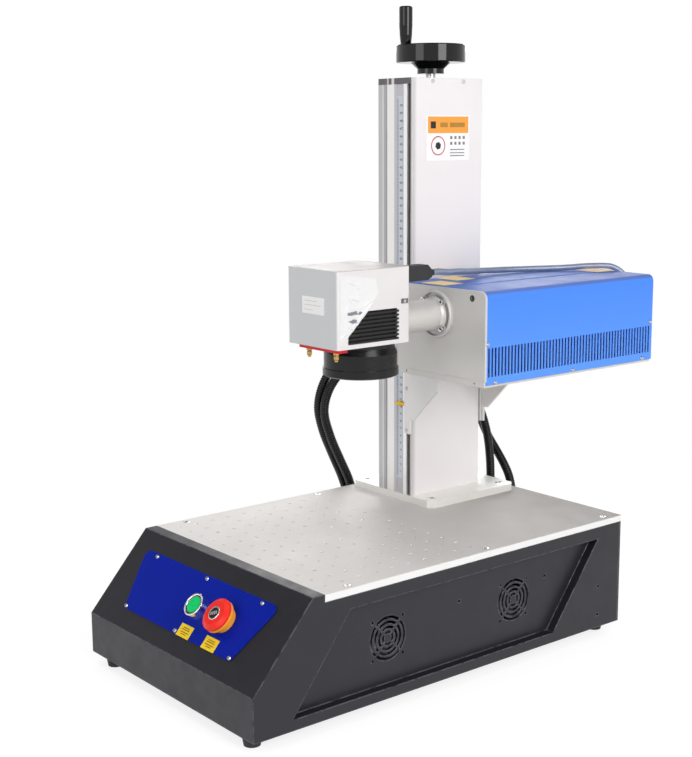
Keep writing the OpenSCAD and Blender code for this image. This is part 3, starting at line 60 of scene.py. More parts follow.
# The drawing is in millimetres, with its zero at the cabinet's front edge, on its underside.
# The row frame is in metres, with its zero on the floor, ORIGIN_Y behind that edge.
MM = 0.001
ORIGIN_Y = 355.5
FOOT_H = 14.0
X, Y, Z = range(3)
ALONG_X = Vector((1, 0, 0))
ALONG_Y = Vector((0, 1, 0))
ALONG_Z = Vector((0, 0, 1))


def at(x, y, z):
    """A point of the drawing as a point of the row frame."""
    return Vector((x * MM, (y - ORIGIN_Y) * MM, (z + FOOT_H) * MM))


def level_at(axis, value):
    """A coordinate of the drawing, along one axis, as a coordinate of the row frame."""
    return at(value, value, value)[axis]


# The leaning front
FRONT_H = 51
SLOPE = math.atan2(94, 82)
SLOPE_UP = Vector((0, math.cos(SLOPE), math.sin(SLOPE)))
OUT = Vector((0, -math.sin(SLOPE), math.cos(SLOPE)))


def on_slope(x, s, h):
    """A point on the leaning front, s up its length and h out from it."""
    y = s * math.cos(SLOPE) - h * math.sin(SLOPE)
    return at(x, y, FRONT_H + s * math.sin(SLOPE) + h * math.cos(SLOPE))


# Places that more than one section uses
STOP_AT = (66.0, 62.0)
TABLE_TOP = 145
LASER_FRONT = 392.0

# Camera
CAM_PLACE = Vector((1.2976, -1.1336, 0.6529))
CAM_AZIMUTH = math.radians(51.05)
CAM_ELEVATION = math.radians(10.14)
CAM_ROLL = math.radians(-0.33)
CAM_LENS = 65.01
CAM_CLIP = (0.05, 50)

cam = bpy.data.objects.new("camera", bpy.data.cameras.new("camera"))
scene.collection.objects.link(cam)
cam.data.lens = CAM_LENS
cam.data.clip_start, cam.data.clip_end = CAM_CLIP
back = Vector((math.sin(CAM_AZIMUTH) * math.cos(CAM_ELEVATION),
               -math.cos(CAM_AZIMUTH) * math.cos(CAM_ELEVATION), math.sin(CAM_ELEVATION)))
level = Vector((math.cos(CAM_AZIMUTH), math.sin(CAM_AZIMUTH), 0))
upward = back.cross(level)
right = level * math.cos(CAM_ROLL) + upward * math.sin(CAM_ROLL)
up = upward * math.cos(CAM_ROLL) - level * math.sin(CAM_ROLL)
cam.matrix_world = Matrix.Translation(CAM_PLACE) @ Matrix((right, up, back)).transposed().to_4x4()
scene.camera = cam

# Sockets that share their name with another are called by number
MIX_SHARE = 0
MIX_A = 6
MIX_B = 7
MIX_RESULT = 2


class Nodes:
    """The node tree of a material or world, with short calls to add and join nodes."""

    def __init__(self, owner):
        owner.use_nodes = True
        self.owner = owner
        self.tree = owner.node_tree
        self.tree.nodes.clear()
        self.point = None

    def add(self, kind, inputs=None, **settings):
        node = self.tree.nodes.new(kind)
        for key, value in settings.items():
            setattr(node, key, value)
        for key, value in (inputs or {}).items():
            socket = node.inputs[key]
            if isinstance(value, bpy.types.NodeSocket):
                self.tree.links.new(value, socket)
            else:
                socket.default_value = value
        return node

    def math(self, operation, a, b=0.0, clamp=False):
        return self.add("ShaderNodeMath", {0: a, 1: b}, operation=operation, use_clamp=clamp).outputs[0]

    def times(self, a, b):
        return self.math("MULTIPLY", a, b)

    def spread(self, value, low, high, to_low=0.0, to_high=1.0, smooth=False):
        return self.add("ShaderNodeMapRange", {0: value, 1: low, 2: high, 3: to_low, 4: to_high},
                        interpolation_type="SMOOTHSTEP" if smooth else "LINEAR").outputs[0]

    def place(self, stretch=(1, 1, 1)):
        coords = self.add("ShaderNodeTexCoord").outputs["Object"]
        return self.add("ShaderNodeMapping", {"Vector": coords, "Scale": stretch}).outputs[0]

    def noise(self, vector, scale, detail, roughness=0.55):
        return self.add("ShaderNodeTexNoise", {"Vector": vector, "Scale": scale, "Detail": detail,
                                               "Roughness": roughness}).outputs["Fac"]

    def blend(self, share, a, b):
        return self.add("ShaderNodeMix", {MIX_SHARE: share, MIX_A: a, MIX_B: b},
                        data_type="RGBA").outputs[MIX_RESULT]

    def coordinate(self, axis):
        """A surface point's coordinate on an axis of the row frame."""
        if not self.point:
            coords = self.add("ShaderNodeTexCoord").outputs["Object"]
            self.point = self.add("ShaderNodeSeparateXYZ", {0: coords}).outputs
        return self.point[axis]

    def above(self, axis, value):
        """1 past a coordinate of the drawing, and 0 before it."""
        return self.math("GREATER_THAN", self.coordinate(axis), level_at(axis, value))

    def below(self, axis, value):
        """1 before a coordinate of the drawing, and 0 past it."""
        return self.math("LESS_THAN", self.coordinate(axis), level_at(axis, value))

    def within(self, axis, low, high):
        """1 between two coordinates of the drawing, and 0 outside them."""
        return self.times(self.above(axis, low), self.below(axis, high))

    def ramp(self, axis, start, end, to_start=0.0, to_end=1.0):
        """A value that changes evenly from one coordinate of the drawing to another."""
        where = self.coordinate(axis)
        return self.spread(where, level_at(axis, start), level_at(axis, end), to_start, to_end)


def rgb(*levels):
    """A linear colour from display levels of 0 to 255."""
    out = []
    for level_8bit in levels:
        c = level_8bit / 255
        out.append(c / 12.92 if c <= 0.04045 else ((c + 0.055) / 1.055) ** 2.4)
    return (*out, 1.0)


def shade(colour, k):
    return (*(min(1.0, c * k) for c in colour[:3]), 1.0)


# How every finish varies, with a noise as its scale, detail and roughness
GRAIN_DETAIL = 2.0
GRAIN_RANGE = (0.25, 0.75)
GRAIN_SHARE = 0.35
GRAIN_SHADE = 1.6
GRAIN_DEPTH = 0.2 * MM
PATCH_DETAIL = 4.0
PATCH_RANGE = (0.3, 0.7)
GLOSS_SCALE = 3.1
GLOSS_DETAIL = (5.0, 0.6)
EDGE_SAMPLES = 4
EDGE_RANGE = (0.995, 0.9)
WEAR_AND_HIGHLIGHT_NOISE = (90, 4.0, 0.6)
WEAR_AND_HIGHLIGHT_RANGE = (0.34, 0.54)
COAT_ROUGHNESS = 0.08


def surface(name, colour, metal=0.0, rough=(0.4, 0.5), vary=0.06, grain=1800, bump=0.05, patch=22,
            stretch=(1, 1, 1), edge=0.5, worn=None, worn_share=0.5, coat=0.0, paint=None, spec=0.5,
            glass=0.0):
    """A finish with patches of tone, a fine grain, varied gloss, soft edges, and lighter edges that are part
    wear and part painted highlight.
    """
    n = Nodes(bpy.data.materials.new(name))
    colour = rgb(*colour)
    plain = n.place()
    fine = n.noise(n.place(stretch), grain, GRAIN_DETAIL)
    patches = n.spread(n.noise(plain, patch, PATCH_DETAIL), *PATCH_RANGE)
    tone = n.blend(patches, shade(colour, 1 - vary), shade(colour, 1 + vary))
    if paint:
        tone = paint(n, tone)
    else:
        share = n.spread(fine, *GRAIN_RANGE, 0.0, GRAIN_SHARE)
        tone = n.blend(share, tone, shade(colour, 1 - vary * GRAIN_SHADE))
    bevel = n.add("ShaderNodeBevel", {"Radius": edge * MM}, samples=EDGE_SAMPLES).outputs[0]
    # Lighter edges in patches: wear, and painted highlights along the edges
    if worn:
        flat = n.add("ShaderNodeNewGeometry").outputs["Normal"]
        turn = n.add("ShaderNodeVectorMath", {0: bevel, 1: flat}, operation="DOT_PRODUCT").outputs["Value"]
        rim = n.spread(turn, *EDGE_RANGE, smooth=True)
        wear_and_highlight_patches = n.spread(n.noise(plain, *WEAR_AND_HIGHLIGHT_NOISE), *WEAR_AND_HIGHLIGHT_RANGE, 0.0, worn_share, True)
        tone = n.blend(n.times(rim, wear_and_highlight_patches), tone, rgb(*worn))
    gloss = n.spread(n.noise(plain, patch * GLOSS_SCALE, *GLOSS_DETAIL), *PATCH_RANGE, *rough)
    relief = n.add("ShaderNodeBump", {"Strength": bump, "Distance": GRAIN_DEPTH, "Height": fine,
                                      "Normal": bevel}).outputs[0]
    shader = n.add("ShaderNodeBsdfPrincipled", {
        "Base Color": tone, "Metallic": metal, "Roughness": gloss, "Normal": relief, "Coat Weight": coat,
        "Coat Roughness": COAT_ROUGHNESS, "Specular IOR Level": spec, "Transmission Weight": glass})
    n.add("ShaderNodeOutputMaterial", {"Surface": shader.outputs[0]})
    return n.owner


# Labels: the column's is white with an orange band, and the two on the panel stay yellow
PANEL_LABELS_BELOW = 500
BAND_Y = (447.6, 520.4)
BAND_Z = (639.3, 660.9)
LABEL_WHITE = rgb(246, 244, 244)
BAND_ORANGE = rgb(246, 160, 62)


def label_paint(n, tone):
    white = n.blend(n.above(Z, PANEL_LABELS_BELOW), tone, LABEL_WHITE)
    return n.blend(n.times(n.within(Z, *BAND_Z), n.within(Y, *BAND_Y)), white, BAND_ORANGE)


# Stickers: the scan head's is white, and of the three on the laser the rear one is pale orange
FRONT_STICKER_BEFORE = 300
REAR_STICKER_PAST = 560
STICKER_WHITE = rgb(250, 250, 250)
STICKER_ORANGE = rgb(240, 212, 176)


def sticker_paint(n, tone):
    tone = n.blend(n.below(Y, FRONT_STICKER_BEFORE), tone, STICKER_WHITE)
    return n.blend(n.above(Y, REAR_STICKER_PAST), tone, STICKER_ORANGE)


# Scan head: greyer on its top and front as painted shade, with a dark patch beside the louvres as painted
# shade of a pressed nick
HEAD_TOP_ABOVE = 481.5
HEAD_FRONT_BEFORE = 204
NICK_PAST_X = 64
NICK_Y = (302.2, 315.3)
NICK_Z = (437.4, 443.0)
HEAD_TOP_SHADE = rgb(192, 187, 186)
HEAD_FRONT_SHADE = rgb(208, 210, 211)
NICK_SHADE = rgb(112, 106, 108)


def head_paint(n, tone):
    nick = n.times(n.within(Y, *NICK_Y), n.within(Z, *NICK_Z))
    nick = n.times(nick, n.above(X, NICK_PAST_X))
    tone = n.blend(n.above(Z, HEAD_TOP_ABOVE), tone, HEAD_TOP_SHADE)
    tone = n.blend(n.below(Y, HEAD_FRONT_BEFORE), tone, HEAD_FRONT_SHADE)
    return n.blend(nick, tone, NICK_SHADE)


# The extrusion's front is fluted: its highlights and shade are painted as bright and dull stripes, each from
# one x to another
STRIPES_BEFORE = 421.5
FLUTE_LIGHT_AND_SHADE = (
    (-113.6, -105.5, rgb(196, 194, 197)), (-105.5, -102.1, rgb(214, 213, 214)),
    (-102.1, -96.6, rgb(176, 176, 179)), (-96.6, -81.2, rgb(244, 243, 241)),
    (-81.2, -62.5, rgb(198, 197, 202)), (-62.5, -55.9, rgb(250, 250, 250)))
# Painted highlights on the cap, as two light upright streaks
CAP_HIGHLIGHTS = ((-95.6, -92.6, rgb(206, 202, 202)), (-86.7, -81.4, rgb(226, 222, 222)))


def stripes(n, tone, lots):
    """Upright stripes of painted highlight and shade on what faces the front of the column."""
    front = n.below(Y, STRIPES_BEFORE)
    for low, high, colour in lots:
        tone = n.blend(n.times(front, n.within(X, low, high)), tone, colour)
    return tone


def flute_paint(n, tone):
    return stripes(n, tone, FLUTE_LIGHT_AND_SHADE)


def cap_paint(n, tone):
    return stripes(n, tone, CAP_HIGHLIGHTS)


# The stop button's head is red above and amber round its lower rim
RIM_H = 14.3 * MM
RIM_AMBER = rgb(255, 170, 50)


def rim_paint(n, tone):
    foot = on_slope(*STOP_AT, 0)
    rise = n.math("ADD", n.times(n.math("SUBTRACT", n.coordinate(Y), foot.y), OUT.y),
                  n.times(n.math("SUBTRACT", n.coordinate(Z), foot.z), OUT.z))
    return n.blend(n.math("LESS_THAN", rise, RIM_H), tone, RIM_AMBER)


# The column's cover greys towards its bent front edge, as painted shade on the bend
BEND_Y = (421, 429)
BEND_SHARE = 0.8
BEND_SHADE_GREY = rgb(176, 174, 176)


def bend_paint(n, tone):
    return n.blend(n.ramp(Y, *BEND_Y, BEND_SHARE, 0.0), tone, BEND_SHADE_GREY)


# Painted shade on the laser's cover: it deepens upwards, and its top is greyer than its sides
DEEPEN_Z = (345, 440)
DEEPEN_SHARE = 0.8
LASER_TOP_ABOVE = 445
SIDE_BLUE = rgb(96, 154, 250)
DEEP_SHADE_BLUE = rgb(76, 136, 248)
TOP_SHADE_BLUE = rgb(92, 120, 192)


def laser_paint(n, tone):
    tone = n.blend(DEEPEN_SHARE, tone, n.blend(n.ramp(Z, *DEEPEN_Z), SIDE_BLUE, DEEP_SHADE_BLUE))
    return n.blend(n.above(Z, LASER_TOP_ABOVE), tone, TOP_SHADE_BLUE)


# The column's foot plate is painted lighter than the other plates of its finish, as painted light
FOOT_PLATE_BELOW = 156
FOOT_PLATE_LIGHT = rgb(238, 237, 233)


def foot_paint(n, tone):
    return n.blend(n.below(Z, FOOT_PLATE_BELOW), tone, FOOT_PLATE_LIGHT)


# The table has painted light and shade: brightest at its left front, painted shade towards the column, and
# pale painted highlights at its edges
TABLE_SHADE_Y = (240, 560)
LEFT_X = (-40, -150)
LEFT_Y = (330, 520)
LEFT_REAR_SHARE = 0.2
TABLE_EDGE_BELOW = 144.2
TABLE_SHADE = rgb(172, 168, 165)
TABLE_LIT = rgb(236, 232, 229)
TABLE_EDGE_HIGHLIGHT = rgb(236, 236, 235)


def table_paint(n, tone):
    shaded = n.blend(n.ramp(Y, *TABLE_SHADE_Y), tone, TABLE_SHADE)
    left = n.times(n.ramp(X, *LEFT_X), n.ramp(Y, *LEFT_Y, 1.0, LEFT_REAR_SHARE))
    lit = n.blend(left, shaded, TABLE_LIT)
    return n.blend(n.below(Z, TABLE_EDGE_BELOW), lit, TABLE_EDGE_HIGHLIGHT)


# Each finish by its slot, with the colour as display levels
FINISH = {}


def finish(slot, colour, **look):
    FINISH[slot] = surface(slot, colour, **look)


# The cabinet's lighter edges are painted highlights
finish("case_black", (33, 32, 39), rough=(0.34, 0.48), vary=0.10, grain=900, bump=0.10, patch=14, edge=2.4,
       spec=0.4, worn=(108, 108, 116), worn_share=1.0)
finish("table_aluminium", (224, 220, 217), metal=0.2, rough=(0.54, 0.68), vary=0.03, grain=2200, bump=0.07,
       patch=9, edge=0.6, worn=(244, 243, 242), paint=table_paint)
finish("screw_steel", (196, 196, 197), metal=0.9, rough=(0.22, 0.38), vary=0.08, grain=1500, patch=80,
       edge=0.4)
finish("dark_steel", (208, 206, 204), metal=0.5, rough=(0.3, 0.45), vary=0.1, grain=1500, patch=80, edge=0.4)
finish("foot_rubber", (40, 38, 40), rough=(0.6, 0.75), vary=0.12, grain=700, bump=0.2, patch=40, edge=1.0)
finish("panel_blue", (0, 30, 158), rough=(0.34, 0.46), vary=0.07, grain=1400, patch=16, spec=0.1,
       worn=(70, 96, 180))
finish("label_film", (255, 214, 20), rough=(0.35, 0.5), vary=0.04, grain=1200, bump=0.03, patch=60, edge=0.2,
       paint=label_paint)
finish("chrome", (246, 246, 248), metal=1.0, rough=(0.12, 0.2), vary=0.03, grain=900, bump=0.02, patch=60)
finish("start_green", (0, 214, 112), rough=(0.24, 0.34), vary=0.08, grain=900, bump=0.03, patch=60, edge=0.8,
       spec=0.25)
finish("stop_yellow", (255, 170, 50), rough=(0.25, 0.36), grain=900, bump=0.03, patch=50, edge=0.6,
       worn=(250, 180, 110))
finish("stop_grey", (110, 110, 112), rough=(0.35, 0.5), vary=0.08, grain=900, bump=0.04, patch=50, edge=0.4)
finish("stop_red", (250, 42, 30), rough=(0.26, 0.38), vary=0.07, grain=900, bump=0.03, patch=50, edge=1.2,
       spec=0.3, worn=(232, 90, 80), paint=rim_paint)
finish("fan_black", (36, 36, 39), rough=(0.3, 0.45), vary=0.1, grain=900, patch=50, edge=0.8)
finish("supply_metal", (176, 177, 178), metal=0.8, rough=(0.3, 0.45), grain=900, patch=30,
       stretch=(1, 12, 12))
finish("card_green", (20, 92, 48), rough=(0.35, 0.5), vary=0.1, grain=900, patch=50, edge=0.3)
finish("inlet_black", (32, 32, 34), rough=(0.3, 0.45), vary=0.1, grain=900, patch=50, edge=0.6)
finish("rocker_red", (190, 24, 20), rough=(0.18, 0.3), vary=0.08, grain=900, bump=0.03, patch=50, coat=0.4)
finish("mast_aluminium", (214, 213, 212), metal=0.45, rough=(0.3, 0.42), vary=0.03, grain=1500, patch=12,
       stretch=(6, 6, 0.25), edge=0.4, paint=flute_paint)
finish("plate_aluminium", (226, 225, 224), metal=0.4, rough=(0.36, 0.5), vary=0.03, grain=1900, patch=14,
       edge=0.6, worn=(240, 240, 240), paint=foot_paint)
finish("cover_aluminium", (236, 232, 233), metal=0.35, rough=(0.4, 0.52), vary=0.02, grain=2400, patch=8,
       worn=(246, 245, 245), paint=bend_paint)
finish("cap_grey", (104, 98, 102), metal=0.3, rough=(0.35, 0.5), grain=1500, patch=30, worn=(190, 190, 190),
       paint=cap_paint)
finish("ruler_film", (206, 213, 224), metal=0.15, rough=(0.3, 0.42), vary=0.03, grain=1500, bump=0.03,
       patch=30, stretch=(6, 6, 0.3), edge=0.2)
finish("wheel_black", (7, 7, 8), rough=(0.05, 0.1), vary=0.1, grain=700, bump=0.02, patch=40, edge=0.8,
       spec=0.36)
finish("bronze", (190, 142, 70), metal=0.9, rough=(0.25, 0.4), vary=0.1, grain=900, patch=50)
finish("laser_silver", (212, 210, 207), metal=0.3, rough=(0.36, 0.5), vary=0.03, grain=1900, patch=10,
       edge=0.8, worn=(234, 234, 234))
finish("laser_blue", (82, 142, 250), rough=(0.42, 0.56), vary=0.05, grain=1300, bump=0.08, patch=10,
       edge=1.2, worn=(128, 172, 244), spec=0.14, paint=laser_paint)
finish("module_black", (34, 35, 38), metal=0.3, rough=(0.4, 0.55), vary=0.1, grain=900, patch=40)
finish("head_silver", (222, 219, 220), metal=0.2, rough=(0.4, 0.54), vary=0.03, grain=2100, bump=0.06,
       patch=10, edge=0.8, worn=(242, 242, 242), paint=head_paint)
finish("grille_black", (24, 24, 26), metal=0.3, rough=(0.35, 0.5), vary=0.1, grain=900, patch=50, edge=0.3)
finish("red_anodised", (196, 34, 44), metal=0.6, rough=(0.28, 0.4), grain=900, bump=0.04, patch=50, edge=0.4)
finish("brass", (192, 160, 98), metal=1.0, rough=(0.18, 0.3), vary=0.08, grain=1200, bump=0.04, patch=60,
       edge=0.3)
finish("lens_black", (11, 11, 12), metal=0.3, rough=(0.24, 0.34), vary=0.1, grain=1200, bump=0.04, patch=30,
       stretch=(0.5, 0.5, 10), worn=(90, 90, 94))
finish("lens_glass", (190, 214, 226), rough=(0.02, 0.06), vary=0.03, grain=300, bump=0.0, patch=20, edge=0.3,
       glass=0.85)
finish("motor_grey", (136, 137, 140), metal=0.8, rough=(0.3, 0.42), grain=900, bump=0.04, patch=40, edge=0.4)
finish("mirror", (236, 238, 240), metal=1.0, rough=(0.02, 0.05), vary=0.02, grain=300, bump=0.0, patch=20,
       edge=0.2)
finish("hood_black", (34, 33, 35), rough=(0.42, 0.58), vary=0.1, grain=900, bump=0.08, patch=50, edge=0.6,
       worn=(70, 70, 72))
finish("conduit_grey", (146, 156, 178), metal=0.4, rough=(0.26, 0.4), vary=0.1, grain=900, patch=60,
       edge=0.2)
finish("paper", (250, 222, 150), rough=(0.5, 0.65), vary=0.04, grain=1200, bump=0.04, patch=60, edge=0.1,
       paint=sticker_paint)
finish("pointer_yellow", (255, 204, 44), rough=(0.35, 0.5), vary=0.05, grain=900, bump=0.04, patch=60,
       edge=0.3)
finish("hose_black", (7, 7, 8), rough=(0.24, 0.34), vary=0.12, grain=500, patch=60, edge=0.1, spec=0.3)

# Protective film: cloudy white folds, and ragged dark patches where it bridges the louvres, painted shade of
# the slots seen through it
FILM_WHITE = rgb(238, 237, 237)
FILM_CLOUD = rgb(232, 232, 234)
BRIDGED_SHADE = rgb(104, 108, 124)
# each patch's middle y and z, and half its size along them
BRIDGED = ((226.9, 431.7, 8.2, 2.9), (226.7, 422.5, 6.6, 2.7), (237.6, 431.9, 3.4, 2.2))
BRIDGED_RANGE = (0.55, 1.15)
BRIDGED_SHARE = 0.9
RAGGED = 3.2
RAGGED_STRETCH = (1, 0.6, 1.8)
RAGGED_NOISE = (260, 3.0, 0.6)
CLOUD_NOISE = (130, 5.0, 0.7)
CLOUD_RANGE = (0.35, 0.65)
FOLD_NOISE = (240, 4.0, 0.6)
FOLD_STRENGTH = 0.15
FOLD_DEPTH = 0.4 * MM
FILM_ROUGHNESS = (0.16, 0.3)
FILM_SPECULAR = 0.6
FILM_ALPHA = 0.94


def from_middle(n, axis, middle, half):
    """The square of how far a point lies from a patch's middle, in halves of its size."""
    off = n.math("DIVIDE", n.math("SUBTRACT", n.coordinate(axis), level_at(axis, middle)), half * MM)
    return n.times(off, off)


def film_material():
    n = Nodes(bpy.data.materials.new("clear_film"))
    where = n.place()
    cloud = n.noise(where, *CLOUD_NOISE)
    tone = n.blend(n.spread(cloud, *CLOUD_RANGE), FILM_WHITE, FILM_CLOUD)
    uneven = n.math("SUBTRACT", n.noise(n.place(RAGGED_STRETCH), *RAGGED_NOISE), 0.5)
    for mid_y, mid_z, half_y, half_z in BRIDGED:
        near = n.math("ADD", from_middle(n, Y, mid_y, half_y), from_middle(n, Z, mid_z, half_z))
        ragged = n.math("ADD", near, n.times(uneven, RAGGED))
        bridged_shade = n.spread(ragged, *BRIDGED_RANGE, BRIDGED_SHARE, 0.0, True)
        tone = n.blend(bridged_shade, tone, BRIDGED_SHADE)
    fold = n.add("ShaderNodeBump", {"Strength": FOLD_STRENGTH, "Distance": FOLD_DEPTH,
                                    "Height": n.noise(where, *FOLD_NOISE)}).outputs[0]
    shader = n.add("ShaderNodeBsdfPrincipled", {
        "Base Color": tone, "Roughness": n.spread(cloud, *PATCH_RANGE, *FILM_ROUGHNESS), "Normal": fold,
        "Alpha": FILM_ALPHA, "Specular IOR Level": FILM_SPECULAR})
    n.add("ShaderNodeOutputMaterial", {"Surface": shader.outputs[0]})
    return n.owner


FINISH["clear_film"] = film_material()

for part in frame["record"]["subparts"]:
    node = nodes[part["node"]]
    node.data.materials.clear()
    node.data.materials.append(FINISH[part["material_slot"]])


# Building pieces
def made(name, verts, faces, slot, body=None, smooth=False):
    """A mesh piece from its points and faces, in the row frame."""
    mesh = bpy.data.meshes.new(name)
    mesh.from_pydata([tuple(v) for v in verts], [], faces)
    mesh.validate()
    bm = bmesh.new()
    bm.from_mesh(mesh)
    bmesh.ops.recalc_face_normals(bm, faces=bm.faces)
    bm.to_mesh(mesh)
    bm.free()
    if smooth:
        mesh.shade_smooth()
    obj = bpy.data.objects.new(name, mesh)
    scene.collection.objects.link(obj)
    mesh.materials.append(FINISH[slot])
    if body:
        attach(obj, body)
    return obj


def smooth_by_angle(obj, degrees):
    obj.data.shade_smooth()
    obj.data.set_sharp_from_angle(angle=math.radians(degrees))


def joined(lots):
    """Several lots of points and faces as one."""
    verts = []
    faces = []
    for more_verts, more_faces in lots:
        start = len(verts)
        verts += more_verts
        faces += [tuple(start + k for k in face) for face in more_faces]
    return verts, faces


def turned(base, axis, outline, sides, hollow=False):
    """Points and faces turned round an axis, from an outline of (radius, height) in millimetres."""
    across = axis.orthogonal().normalized()
    side = axis.cross(across)
    verts = []
    faces = []
    for r, h in outline:
        for k in range(sides):
            a = math.tau * (k + 0.5) / sides
            verts.append(base + axis * (h * MM) + (across * math.cos(a) + side * math.sin(a)) * (r * MM))
    rows = len(outline)
    for i in range(rows if hollow else rows - 1):
        j = (i + 1) % rows
        for k in range(sides):
            m = (k + 1) % sides
            faces.append((i * sides + k, i * sides + m, j * sides + m, j * sides + k))
    if not hollow:
        faces.append(tuple(range(sides))[::-1])
        faces.append(tuple((rows - 1) * sides + k for k in range(sides)))
    return verts, faces


def bars(origin, right, up, spans, lift):
    """Flat marks on a face: each span is (left, low, right, high) in millimetres along the face."""
    out = right.cross(up)
    verts = []
    faces = []
    for left, low, far, high in spans:
        start = len(verts)
        for u, v in ((left, low), (far, low), (far, high), (left, high)):
            verts.append(origin + right * (u * MM) + up * (v * MM) + out * (lift * MM))
        faces.append((start, start + 1, start + 2, start + 3))
    return verts, faces


def islands(name):
    """The boxes of a node's separate solids, as (low, high) in the row frame."""
    obj = nodes[name]
    mesh = obj.data
    root = list(range(len(mesh.vertices)))

    def find(i):
        while root[i] != i:
            root[i] = root[root[i]]
            i = root[i]
        return i

    seen_at = {}
    for v in mesh.vertices:
        key = tuple(round(c, 6) for c in v.co)
        if key in seen_at:
            root[find(v.index)] = find(seen_at[key])
        else:
            seen_at[key] = v.index
    for edge in mesh.edges:
        root[find(edge.vertices[0])] = find(edge.vertices[1])
    boxes = {}
    for v in mesh.vertices:
        p = obj.matrix_world @ v.co
        low, high = boxes.setdefault(find(v.index), (p.copy(), p.copy()))
        for k in range(3):
            low[k] = min(low[k], p[k])
            high[k] = max(high[k], p[k])
    return sorted(boxes.values(), key=lambda box: tuple(round(c, 5) for c in box[0]))


# Cords, on the routes of the part's source
CURVE_STEPS = 8


def curve_points(route):
    """The smooth curve through a route's points, as in the part's source."""
    points = [at(*p) for p in route]
    out = []
    last = len(points) - 1
    for i in range(last):
        a, b, c, d = (points[max(i - 1, 0)], points[i], points[i + 1], points[min(i + 2, last)])
        for k in range(CURVE_STEPS):
            t = k / CURVE_STEPS
            out.append((b * 2 + (c - a) * t + (a * 2 - b * 5 + c * 4 - d) * t * t
                        + (b * 3 - c * 3 + d - a) * t * t * t) / 2)
    out.append(points[-1])
    return out


def evenly(points, step):
    """Points a step apart along a line of points, and the line's length."""
    marks = [0.0]
    for p, q in zip(points, points[1:]):
        marks.append(marks[-1] + (q - p).length)
    count = max(2, round(marks[-1] / step))
    out = []
    i = 0
    for k in range(count + 1):
        mark = marks[-1] * k / count
        while i < len(points) - 2 and marks[i + 1] < mark:
            i += 1
        share = (mark - marks[i]) / (marks[i + 1] - marks[i])
        out.append(points[i].lerp(points[i + 1], min(max(share, 0.0), 1.0)))
    return out, marks[-1]


def tube(points, radius, sides):
    """Points and faces of a closed tube; radius(i, angle) is in metres."""
    verts = []
    faces = []
    heading = (points[1] - points[0]).normalized()
    normal = heading.orthogonal().normalized()
    for i, p in enumerate(points):
        heading = (points[min(i + 1, len(points) - 1)] - points[max(i - 1, 0)]).normalized()
        normal = (normal - heading * normal.dot(heading)).normalized()
        side = heading.cross(normal)
        for k in range(sides):
            a = math.tau * k / sides
            verts.append(p + (normal * math.cos(a) + side * math.sin(a)) * radius(i, a))
    for i in range(len(points) - 1):
        for k in range(sides):
            a = i * sides + k
            b = i * sides + (k + 1) % sides
            faces.append((a, b, b + sides, a + sides))
    faces.append(tuple(range(sides))[::-1])
    faces.append(tuple((len(points) - 1) * sides + k for k in range(sides)))
    return verts, faces


# Four ribbed hoses from the cabinet to the laser
HOSE_ROUTES = {
    "hose_left_a": [
        (-210, 445, 78), (-210, 445, 91), (-210, 442, 118), (-210, 431, 150), (-209, 412, 188),
        (-207, 394, 226), (-204, 385, 262), (-198, 393, 298), (-189, 418, 334), (-177, 462, 366),
        (-160, 514, 391), (-142, 560, 408), (-126, 598, 417), (-117, 614, 419), (-103, 628, 420),
        (-86, 637, 420), (-67, 640, 420), (-54, 640, 420)],
    "hose_left_b": [
        (-193, 439, 108), (-193, 439, 121), (-193, 431, 148), (-193, 415, 180), (-192, 397, 216),
        (-189, 384, 254), (-184, 390, 287), (-176, 411, 315), (-164, 449, 345), (-149, 506, 371),
        (-138, 557, 383), (-127, 596, 389), (-117, 614, 390), (-103, 628, 390), (-86, 637, 390),
        (-67, 640, 390), (-54, 640, 390)],
    "hose_rear_a": [
        (-82, 608, 78), (-82, 608, 91), (-82, 608, 118), (-82, 608, 146), (-83, 607, 175), (-86, 605, 204),
        (-93, 602, 232), (-106, 600, 258), (-117, 598, 279), (-123, 596, 298), (-122, 594, 317),
        (-114, 592, 334), (-101, 591, 348), (-85, 590, 357), (-67, 590, 360), (-54, 590, 360)],
    "hose_rear_b": [
        (-56, 626, 100), (-56, 626, 113), (-57, 626, 130), (-63, 626, 148), (-74, 626, 164),
        (-89, 626, 181), (-105, 626, 198), (-118, 626, 216), (-126, 625, 236), (-130, 624, 257),
        (-131, 624, 277), (-130, 623, 296), (-126, 623, 313), (-117, 622, 330), (-103, 622, 344),
        (-86, 622, 353), (-67, 622, 356), (-54, 622, 356)],
}
HOSE_R = 6.5 * MM
HOSE_ROOT = 5.7 * MM
HOSE_MID = (HOSE_ROOT + HOSE_R) / 2
RIB = (HOSE_ROOT, HOSE_MID, HOSE_R, HOSE_MID)
RIB_PITCH = 3.4 * MM
HOSE_SIDES = 18

for name, route in HOSE_ROUTES.items():
    path, length = evenly(curve_points(route), RIB_PITCH / len(RIB))
    ribbed = tube(path, lambda i, a: RIB[i % len(RIB)], HOSE_SIDES)
    hose = made(name + "_ribbed", *ribbed, "hose_black", smooth=True)
    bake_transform(hose)
    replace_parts(hose, name)

# Conduit from the scan head to the laser's rear, wound from a strip
CONDUIT_ROUTE = [
    (54, 366, 470), (52, 377, 470), (43, 402, 467), (24, 438, 464), (2, 477, 460), (-15, 519, 457),
    (-20, 564, 455), (-10, 611, 454), (8, 651, 454), (29, 681, 456), (44, 702, 456), (51, 713, 453),
    (57, 723, 445), (61, 730, 433), (63, 732, 419), (63, 732, 407), (63, 732, 395)]
CONDUIT_R = 4.2 * MM
CONDUIT_ROOT = 3.75 * MM
CONDUIT_SIDES = 20
TURN_RINGS = 5
TURN_PITCH = 2.6 * MM
RISE_POWER = 0.5


